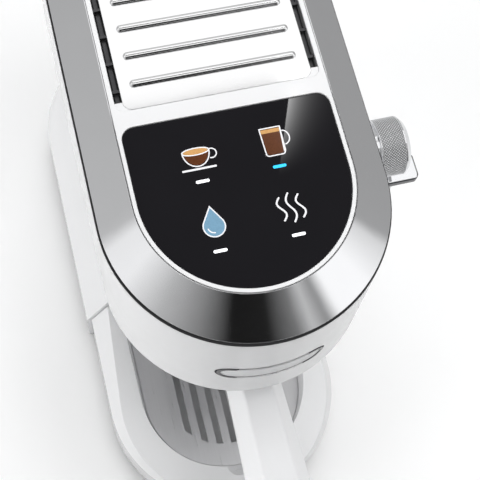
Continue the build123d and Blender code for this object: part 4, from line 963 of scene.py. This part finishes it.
@dataclass
class BaseFittings(SubAssembly):
    """Floor plate, feet, screws, cord gland and power switch."""

    recess_size: Point2 = (4.4, 0.9)
    shade_thickness: float = 0.05
    screw_radius: float = 4.0
    lift: float = 0.02
    least_face: float = 1.0
    mark_reach: float = 2.0
    mark_line: float = 0.6
    mark_steps: int = 32

    plan: ClassVar[Plan] = {
        Look.GREY_PLASTIC: ("base_plate",),
        Look.RUBBER: ("rubber_feet",),
        Look.ROUND_STEEL: ("base_screws",),
        Look.BLACK_PLASTIC: ("cord_gland", "switch_bezel", "power_rocker"),
    }

    def detail(self) -> None:
        """Add painted shade for the screws' cross recesses, and switch marks."""
        self._recess_shades()
        self._marks()

    def _recess_shades(self) -> None:
        """Add a flat black cross under each base screw, painted shade standing for its cross recess."""
        low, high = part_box("base_screws")
        work = bmesh.new()
        inset = self.screw_radius * MM
        for x in (low.x + inset, high.x - inset):
            for y in (low.y + inset, high.y - inset):
                for length, width in (self.recess_size, self.recess_size[::-1]):
                    size = (length * MM, width * MM, self.shade_thickness * MM)
                    block(work, (x, y, low.z - self.lift * MM), size)
        # Painted shade: flat black crosses stand for the shade in the screws' cross recesses.
        new_piece("screw_recess_shades", work, "machine", [Look.BLACK_PLASTIC.material])

    def _marks(self) -> None:
        """Print a ring and a bar on the two faces of the power rocker."""
        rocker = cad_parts["power_rocker"].data
        faces = [f for f in rocker.polygons if f.normal.x > 0.9 and f.area > self.least_face * MM * MM]
        up = Vector((0.0, 0.0, 1.0))
        reach, half = self.mark_reach, self.mark_line / 2
        bar = [(-half, -reach), (half, -reach), (half, reach), (-half, reach)]
        rings = [arc((0, 0), (r, r), 0, 360, self.mark_steps)[:-1] for r in (reach, reach - self.mark_line)]
        work = bmesh.new()
        for is_bar in (False, True):
            group = [f for f in faces if (f.normal.y < -0.1) == is_bar]
            normal = group[0].normal
            middle = sum((f.center * f.area for f in group), Vector()) / sum(f.area for f in group)
            place = Matrix((up.cross(normal).normalized(), up, normal)).transposed().to_4x4()
            place.translation = middle + normal * self.lift * MM
            lines = [bar] if is_bar else rings
            rows = [
                [work.verts.new(place @ Vector((a * MM, b * MM, 0.0))) for a, b in line] for line in lines
            ]
            if is_bar:
                work.faces.new(rows[0])
            else:
                bridge(work, *rows, True)
        # The white marks glow faintly with the print finish, a painted glow on a part with no lamp.
        new_piece("rocker_marks", work, "power_rocker", [Look.PRINT_WHITE.material])


class BrewGroup(SubAssembly):
    """Group head with its gasket and screen, filter holder and handle."""

    plan: ClassVar[Plan] = {
        Look.CASTING: ("group_head", "portafilter_body"),
        Look.RUBBER: ("group_gasket",),
        Look.GRID_STEEL: ("shower_screen",),
        Look.ROUND_STEEL: ("shower_screw", "filter_basket"),
        Look.GREY_PLASTIC: ("portafilter_spout",),
        Look.CHROME: ("handle_collar",),
        Look.WHITE_HANDLE: ("portafilter_handle",),
    }


@dataclass
class DripStation(SubAssembly):
    """Drip tray with the lining of its finger notch, steel grid and float."""

    notch_y: float = -143.6
    notch_half: float = 1.5
    notch_radius: float = 7.02
    notch_levels: Point2 = (36.48, 41.2)
    notch_open: float = 15.0
    notch_steps: int = 12
    lining: float = 0.8

    plan: ClassVar[Plan] = {
        Look.WHITE_SHELL: ("drip_tray",),
        Look.GRID_STEEL: ("drip_grid",),
        Look.WHITE_HANDLE: ("drip_float",),
    }

    def detail(self) -> None:
        """Close the finger notch below the rim with a thin pocket."""
        work = bmesh.new()
        low, high = self.notch_levels
        rings = []
        for grow, level in ((0.0, low), (0.0, high), (self.lining, high), (self.lining, low - self.lining)):
            size = (self.notch_radius + grow, self.notch_radius + grow)
            ends = (-self.notch_open, self.notch_open - 180)
            outline = arc((self.notch_half, self.notch_y), size, ends[0], -90, self.notch_steps)
            outline += arc((-self.notch_half, self.notch_y), size, -90, ends[1], self.notch_steps)
            rings.append([work.verts.new((x * MM, y * MM, level * MM)) for x, y in outline])
        for first, second in zip(rings, rings[1:]):
            bridge(work, first, second)
        work.faces.new(rings[0])
        work.faces.new(rings[3])
        work.faces.new([ring[0] for ring in rings] + [ring[-1] for ring in rings[::-1]])
        bmesh.ops.recalc_face_normals(work, faces=work.faces)
        new_piece("notch_lining", work, "drip_tray", [Look.WHITE_SHELL.material], smooth=True)


@dataclass
class SteamStation(SubAssembly):
    """Knurled steam knob, its spindle and valve, and the swinging wand."""

    teeth: int = 64
    steps_per_tooth: int = 6
    knurl_depth: float = 0.36
    knurl_crest: float = 0.34
    knurl_sharp: float = 24.0
    plain_band: float = 0.7
    bore_radius: float = 3.2
    neck_length: float = 6.4
    neck_radius: float = 13.0
    neck_edge: float = 0.3
    rear_edge: float = 0.25
    chamfer: float = 2.2
    dish_radius: float = 10.0
    dish_depth: float = 0.8
    dish_slope: float = 0.5
    dish_eye: float = 0.02
    hub_plate: float = 4.1

    plan: ClassVar[Plan] = {
        Look.ROUND_STEEL: ("knob_spindle", "wand_pin", "wand_tube", "wand_tip"),
        Look.CHROME: ("knob_collar", "wand_hub"),
        Look.BRASS: ("steam_valve",),
        Look.BLACK_PLASTIC: ("wand_grip",),
    }

    def detail(self) -> None:
        """Paint shade onto the edge of the hub's plate as darkened chrome, and build the knurled knob."""
        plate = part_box("wand_hub")[1].z - self.hub_plate * MM
        # Painted shade: the front and side faces near the top of the hub's plate get darkened chrome.
        paint(
            "wand_hub", Look.SMOKED_CHROME,
            lambda points, normal: (normal.y < -0.5 or normal.x > 0.4) and all(p.z > plate for p in points),
        )
        self._knob()

    def _profile(self, length: float, radius: float) -> List[Tuple[float, float, int]]:
        """Outline of the knob from its bore round to the middle of its dish.

        Args:
            length: Length of the knob in millimetres.
            radius: Radius of the knob in millimetres.

        Returns:
            Distance along the axis and from it, and the row of the knurl from 1, or 0 on plain stretches.
        """
        start, end = self.neck_length, length - self.chamfer
        first, last = start + self.plain_band, end - self.plain_band
        dish = length - self.dish_depth
        rows = int((last - first) / (2 * math.pi * radius / self.teeth / self.steps_per_tooth))
        plain_rear = [
            (0.0, self.bore_radius), (0.0, self.neck_radius - self.neck_edge),
            (self.neck_edge, self.neck_radius), (start, self.neck_radius), (start, radius - self.rear_edge),
            (start + self.rear_edge, radius), (first, radius),
        ]
        knurl = [(first + (last - first) * row / rows, radius, 1 + row) for row in range(rows + 1)]
        plain_front = [
            (last, radius), (end, radius), (length, radius - self.chamfer), (length, self.dish_radius),
            (dish, self.dish_radius - self.dish_slope), (dish, self.dish_eye),
        ]
        return [(*point, 0) for point in plain_rear] + knurl + [(*point, 0) for point in plain_front]

    def _knob(self) -> None:
        """Build the knob as one turned body with a diamond knurl."""
        low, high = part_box("steam_knob")
        centre = (low + high) / 2
        radius = (high.z - low.z) / 2
        depth = self.knurl_depth * MM
        around = self.teeth * self.steps_per_tooth
        profile = self._profile((high.x - low.x) / MM, radius / MM)
        work = bmesh.new()
        rings: List[Row] = []
        for along, reach, row in profile:
            ring: Row = []
            for step in range(around):
                angle = 2 * math.pi * step / around
                local = reach * MM - (self._knurl(step, row - 1) * depth if row else 0.0)
                y, z = centre.y + local * math.cos(angle), centre.z + local * math.sin(angle)
                ring.append(work.verts.new((low.x + along * MM, y, z)))
            rings.append(ring)
        for index, (first, second) in enumerate(zip(rings, rings[1:])):
            cut = profile[index][2] > 0 and profile[index + 1][2] > 0
            bridge(work, first, second, True, int(cut))
        bmesh.ops.recalc_face_normals(work, faces=work.faces)
        # The knurl's finish paints shade into its grooves.
        recipe = KnurledChrome("knurled_chrome", axis=(centre.y, centre.z), reach=(radius - depth, radius))
        piece = new_piece(
            "knurled_knob", work, "steam_knob", [Look.CHROME.material, recipe.make()], smooth=True
        )
        piece.data.set_sharp_from_angle(angle=math.radians(self.knurl_sharp))
        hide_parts("steam_knob")

    def _knurl(self, step: int, row: int) -> float:
        """Work out the diamond knurl's depth at a point.

        Args:
            step: Step round the knob.
            row: Row along it.

        Returns:
            The depth, from 0 on a crest to 1 in a groove.
        """
        period = self.steps_per_tooth
        across = max(abs(2 * (place % period) / period - 1) for place in (step + row, step - row))
        return max(0.0, across - self.knurl_crest) / (1 - self.knurl_crest)


@dataclass
class TankStation(SubAssembly):
    """Water tank with level marks, valve and lid."""

    mark_rows: Point2 = (105.0, 272.0)
    mark_size: Point3 = (0.1, 14.0, 1.2)
    mark_inset: float = 15.0
    mark_proud: float = 0.04

    plan: ClassVar[Plan] = {
        Look.CLEAR: ("water_tank",),
        Look.GREY_PLASTIC: ("tank_valve", "tank_seat"),
        Look.ROUND_STEEL: ("tank_hinge_pin",),
        Look.WHITE_SHELL: ("tank_lid",),
    }

    def detail(self) -> None:
        """Print a low and a high level line on each side of the tank."""
        low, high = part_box("water_tank")
        work = bmesh.new()
        for x in (low.x - self.mark_proud * MM, high.x + self.mark_proud * MM):
            for row in self.mark_rows:
                centre = (x, low.y + self.mark_inset * MM, row * MM)
                block(work, centre, tuple(Vector(self.mark_size) * MM))
        new_piece("tank_level_marks", work, "water_tank", [Look.GREY_PLASTIC.material])


class WaterWorks(SubAssembly):
    """Pump, heater, meter, boards, hoses and pipes inside the shells."""

    plan: ClassVar[Plan] = {
        Look.BLACK_PLASTIC: ("pump",),
        Look.RUBBER: ("pump_mounts",),
        Look.GREY_PLASTIC: ("pump_bracket", "flow_meter"),
        Look.BOARD: ("power_board",),
        Look.CASTING: ("thermoblock",),
        Look.SILICONE: ("suction_hose", "pump_hose", "pressure_hose", "steam_pipe", "wand_pipe"),
    }


def stage_sheet(
    name: str, points: Sequence[Point3], faces: Sequence[Sequence[int]], material: Material,
    mirrors_only: bool = True,
) -> None:
    """Stand a sheet on the stage.

    Args:
        name: Name of the sheet.
        points: Its corners.
        faces: Its faces, as indices of corners.
        material: Its finish.
        mirrors_only: Whether only mirrors see it.
    """
    mesh = bpy.data.meshes.new(name)
    mesh.from_pydata(points, [], faces)
    mesh.materials.append(material)
    sheet = bpy.data.objects.new(name, mesh)
    bpy.context.scene.collection.objects.link(sheet)
    if mirrors_only:
        sheet.visible_camera = False
        sheet.visible_diffuse = False
        sheet.visible_transmission = False
        sheet.visible_shadow = False
    log.info("stage sheet %s", name)


def level_corners(low: Point2, high: Point2, height: float) -> List[Point3]:
    """Corners of a level rectangle, in order round it."""
    plan = ((low[0], low[1]), (high[0], low[1]), (high[0], high[1]), (low[0], high[1]))
    return [(x, y, height) for x, y in plan]


@dataclass
class Card:
    """Flat level reflector that only mirrors see."""

    name: str
    low: Point2
    high: Point2
    height: float
    tone: float

    def build(self) -> None:
        """Add the card to the stage."""
        sheet = ShaderSheet(self.name, "ShaderNodeEmission")
        self._light(sheet)
        corners = level_corners(self.low, self.high, self.height)
        stage_sheet(self.name, corners, [(0, 1, 2, 3)], sheet.material)

    def _light(self, sheet: ShaderSheet) -> None:
        """Set an even glow."""
        sheet.set(Strength=self.tone)


@dataclass
class WindowCard(Card):
    """Card with the glow of a window: a sharp slanting edge, fading to the other side and to the front."""

    start: float = 0.12
    slant: float = 0.396
    fade: float = 0.0187
    rise: Point2 = (0.4, 0.55)
    base: float = 0.06

    def _light(self, sheet: ShaderSheet) -> None:
        """Set the window's glow.

        Args:
            sheet: Node sheet of the card.
        """
        x, y, _ = sheet.axes()
        past = sheet.maths("SUBTRACT", x, sheet.maths("MULTIPLY_ADD", y, self.slant, self.start))
        falling = sheet.maths("EXPONENT", sheet.maths("MULTIPLY", past, -1.0 / self.fade))
        shape = sheet.maths("MULTIPLY", falling, sheet.maths("GREATER_THAN", past, 0.0))
        shape = sheet.maths("MULTIPLY", shape, sheet.spread(y, 0.0, 1.0, self.rise, smooth=True))
        sheet.link(sheet.maths("MULTIPLY_ADD", shape, self.tone, self.base), sheet.shader.inputs["Strength"])


@dataclass
class LightTent:
    """Upright round tent with soft boxes and dark gaps, seen by mirrors only."""

    radius: float = 2.5
    foot: float = 0.03
    head: float = 3.7
    hood: float = 5.2
    sides: int = 96
    bands: Tuple[Point2, ...] = (
        (-180.0, 0.7), (-130.0, 0.45), (-107.0, 0.57), (-100.0, 0.95), (-84.0, 1.0), (-60.0, 0.52),
        (-35.0, 0.25), (-15.0, 0.01), (8.0, 0.015), (24.0, 0.2), (32.0, 0.6), (40.0, 0.28), (47.0, 1.15),
        (64.0, 1.15), (80.0, 0.8), (84.0, 0.4), (130.0, 0.36), (180.0, 0.7),
    )

    def build(self) -> None:
        """Add the tent to the stage."""
        points: List[Point3] = []
        faces: List[Tuple[int, ...]] = []
        for side in range(self.sides):
            angle = 2 * math.pi * side / self.sides
            x, y = self.radius * math.cos(angle), self.radius * math.sin(angle)
            points += [(x, y, self.foot), (x, y, self.hood if y < -self.radius / 2 else self.head)]
            following = (side + 1) % self.sides
            faces.append((2 * side, 2 * side + 1, 2 * following + 1, 2 * following))
        stage_sheet("light_tent", points, faces, self._cloth())

    def _cloth(self) -> Material:
        """Make the cloth, whose glow changes round the tent.

        Returns:
            The new material.
        """
        sheet = ShaderSheet("tent_cloth", "ShaderNodeEmission")
        x, y, _ = sheet.axes()
        turn = sheet.maths("ARCTAN2", x, sheet.maths("MULTIPLY", y, -1.0))
        ramp = sheet.node("ShaderNodeValToRGB")
        sheet.link(sheet.spread(turn, 0.0, 1.0, (-math.pi, math.pi)), ramp.inputs["Fac"])
        sheet.link(ramp.outputs["Color"], sheet.shader.inputs["Color"])
        stops = ramp.color_ramp.elements
        for index, (azimuth, tone) in enumerate(self.bands):
            share = (azimuth + 180.0) / 360.0
            stop = stops[index] if index < 2 else stops.new(share)
            stop.position = share
            stop.color = (tone, tone, tone, 1.0)
        return sheet.material


@dataclass(frozen=True)
class Lamp:
    """Soft square lamp that mirrors don't see."""

    name: str
    place: Point3
    size: float
    power: float

    def hang(self, target: Point3) -> None:
        """Add the lamp to the scene.

        Args:
            target: Where it points.
        """
        data = bpy.data.lights.new(self.name, "AREA")
        data.energy = self.power
        data.shape = "SQUARE"
        data.size = self.size
        lamp = bpy.data.objects.new(self.name, data)
        lamp.location = self.place
        lamp.rotation_euler = (Vector(target) - Vector(self.place)).to_track_quat("-Z", "Y").to_euler()
        lamp.visible_glossy = False
        bpy.context.scene.collection.objects.link(lamp)


@dataclass
class Studio:
    """Pale floor, soft lamps, reflector cards and the camera."""

    eye: Point3 = (-0.08009, -0.22913, 0.73554)
    right: Point3 = (0.96690138, -0.24173041, 0.08165861)
    down: Point3 = (-0.20121218, -0.91919033, -0.33853035)
    forward: Point3 = (0.15689288, 0.31089475, -0.9374055)
    lens: float = 82.5
    sensor: float = 36.0
    middle: Point3 = (0.0, -0.03, 0.17)
    ambient: float = 0.15
    ceiling: float = 1.15
    floor_half: float = 6.0
    floor_tone: float = 0.9
    # Painted glow of the floor, seen by the camera only: its strength by the machine and far from it.
    floor_lift: Point2 = (0.11, 0.9)
    floor_fade: Point2 = (0.5, 1.8)
    lamps: Tuple[Lamp, ...] = (
        Lamp("left_lamp", (-1.8, -0.15, 0.5), 1.2, 19.5),
        Lamp("rear_lamp", (0.2, 1.3, 1.5), 1.2, 10.5),
        Lamp("right_lamp", (1.45, -0.5, 1.0), 1.2, 9.0),
        Lamp("top_lamp", (0.1, -0.03, 1.9), 1.0, 16.8),
    )
    tent: LightTent = field(default_factory=LightTent)
    cards: List[Card] = field(default_factory=lambda: [
        Card("card_panel_dark", (-0.5, 0.1), (0.45, 0.56), 1.5, 0.06),
        WindowCard("card_panel_window", (0.25, 0.4), (0.44, 0.56), 1.499, 10.0),
    ])

    def build(self) -> None:
        """Set up the stage."""
        self._world()
        self._floor()
        for lamp in self.lamps:
            lamp.hang(self.middle)
        self.tent.build()
        for card in self.cards:
            card.build()
        self._camera()
        bpy.context.scene.view_settings.view_transform = "Standard"

    def _world(self) -> None:
        """Set an even pale surround, white to the camera and to mirrors."""
        world = bpy.data.worlds.new("studio")
        bpy.context.scene.world = world
        world.use_nodes = True
        sheet = NodeSheet(world.node_tree)
        sheet.tree.nodes.clear()
        path = sheet.node("ShaderNodeLightPath").outputs
        seen = sheet.maths("MAXIMUM", path["Is Camera Ray"], path["Is Glossy Ray"])
        seen = sheet.maths("MAXIMUM", seen, path["Is Transmission Ray"])
        ambient = sheet.node("ShaderNodeBackground", Color=(0.97, 0.985, 1.0, 1.0), Strength=self.ambient)
        white = sheet.node("ShaderNodeBackground", Color=(1.0, 1.0, 1.0, 1.0), Strength=self.ceiling)
        mix = sheet.node("ShaderNodeMixShader")
        for source, socket in zip((seen, ambient.outputs[0], white.outputs[0]), mix.inputs):
            sheet.link(source, socket)
        output = sheet.node("ShaderNodeOutputWorld")
        sheet.link(mix.outputs[0], output.inputs["Surface"])

    def _floor(self) -> None:
        """Lay the floor, with a painted glow that only the camera sees, faint by the machine and stronger
        away from it.
        """
        sheet = ShaderSheet("pale_floor")
        tone = self.floor_tone
        sheet.set(
            Base_Color=(tone, tone, tone, 1.0), Roughness=0.7, Specular_IOR_Level=0.2,
            Emission_Color=(1.0, 1.0, 1.0, 1.0),
        )
        away = sheet.reach(*sheet.axes()[:2])
        painted_glow = sheet.spread(away, *self.floor_lift, self.floor_fade, smooth=True)
        seen = sheet.node("ShaderNodeLightPath").outputs["Is Camera Ray"]
        sheet.link(sheet.maths("MULTIPLY", seen, painted_glow), sheet.shader.inputs["Emission Strength"])
        half = self.floor_half
        corners = level_corners((-half, -half), (half, half), 0.0)
        stage_sheet("floor", corners, [(0, 1, 2, 3)], sheet.material, mirrors_only=False)

    def _camera(self) -> None:
        """Stand the camera at the picture's viewpoint."""
        data = bpy.data.cameras.new("view")
        data.lens = self.lens
        data.sensor_width = self.sensor
        data.clip_start = 0.01
        camera = bpy.data.objects.new("view", data)
        turn = Matrix((Vector(self.right), -Vector(self.down), -Vector(self.forward))).transposed().to_4x4()
        camera.matrix_world = Matrix.Translation(self.eye) @ turn
        bpy.context.scene.collection.objects.link(camera)
        bpy.context.scene.camera = camera


def main() -> None:
    """Build the studio and dress every sub-assembly in order."""
    logging.basicConfig(level=logging.INFO, format="%(message)s")
    for assembly in (
        Studio(),
        BodyShells(),
        BaseFittings(),
        TouchPanel(),
        BrewGroup(),
        DripStation(),
        SteamStation(),
        TankStation(),
        WaterWorks(),
    ):
        assembly.build()
        log.info("finished %s", type(assembly).__name__)


if __name__ == "__main__":
    main()
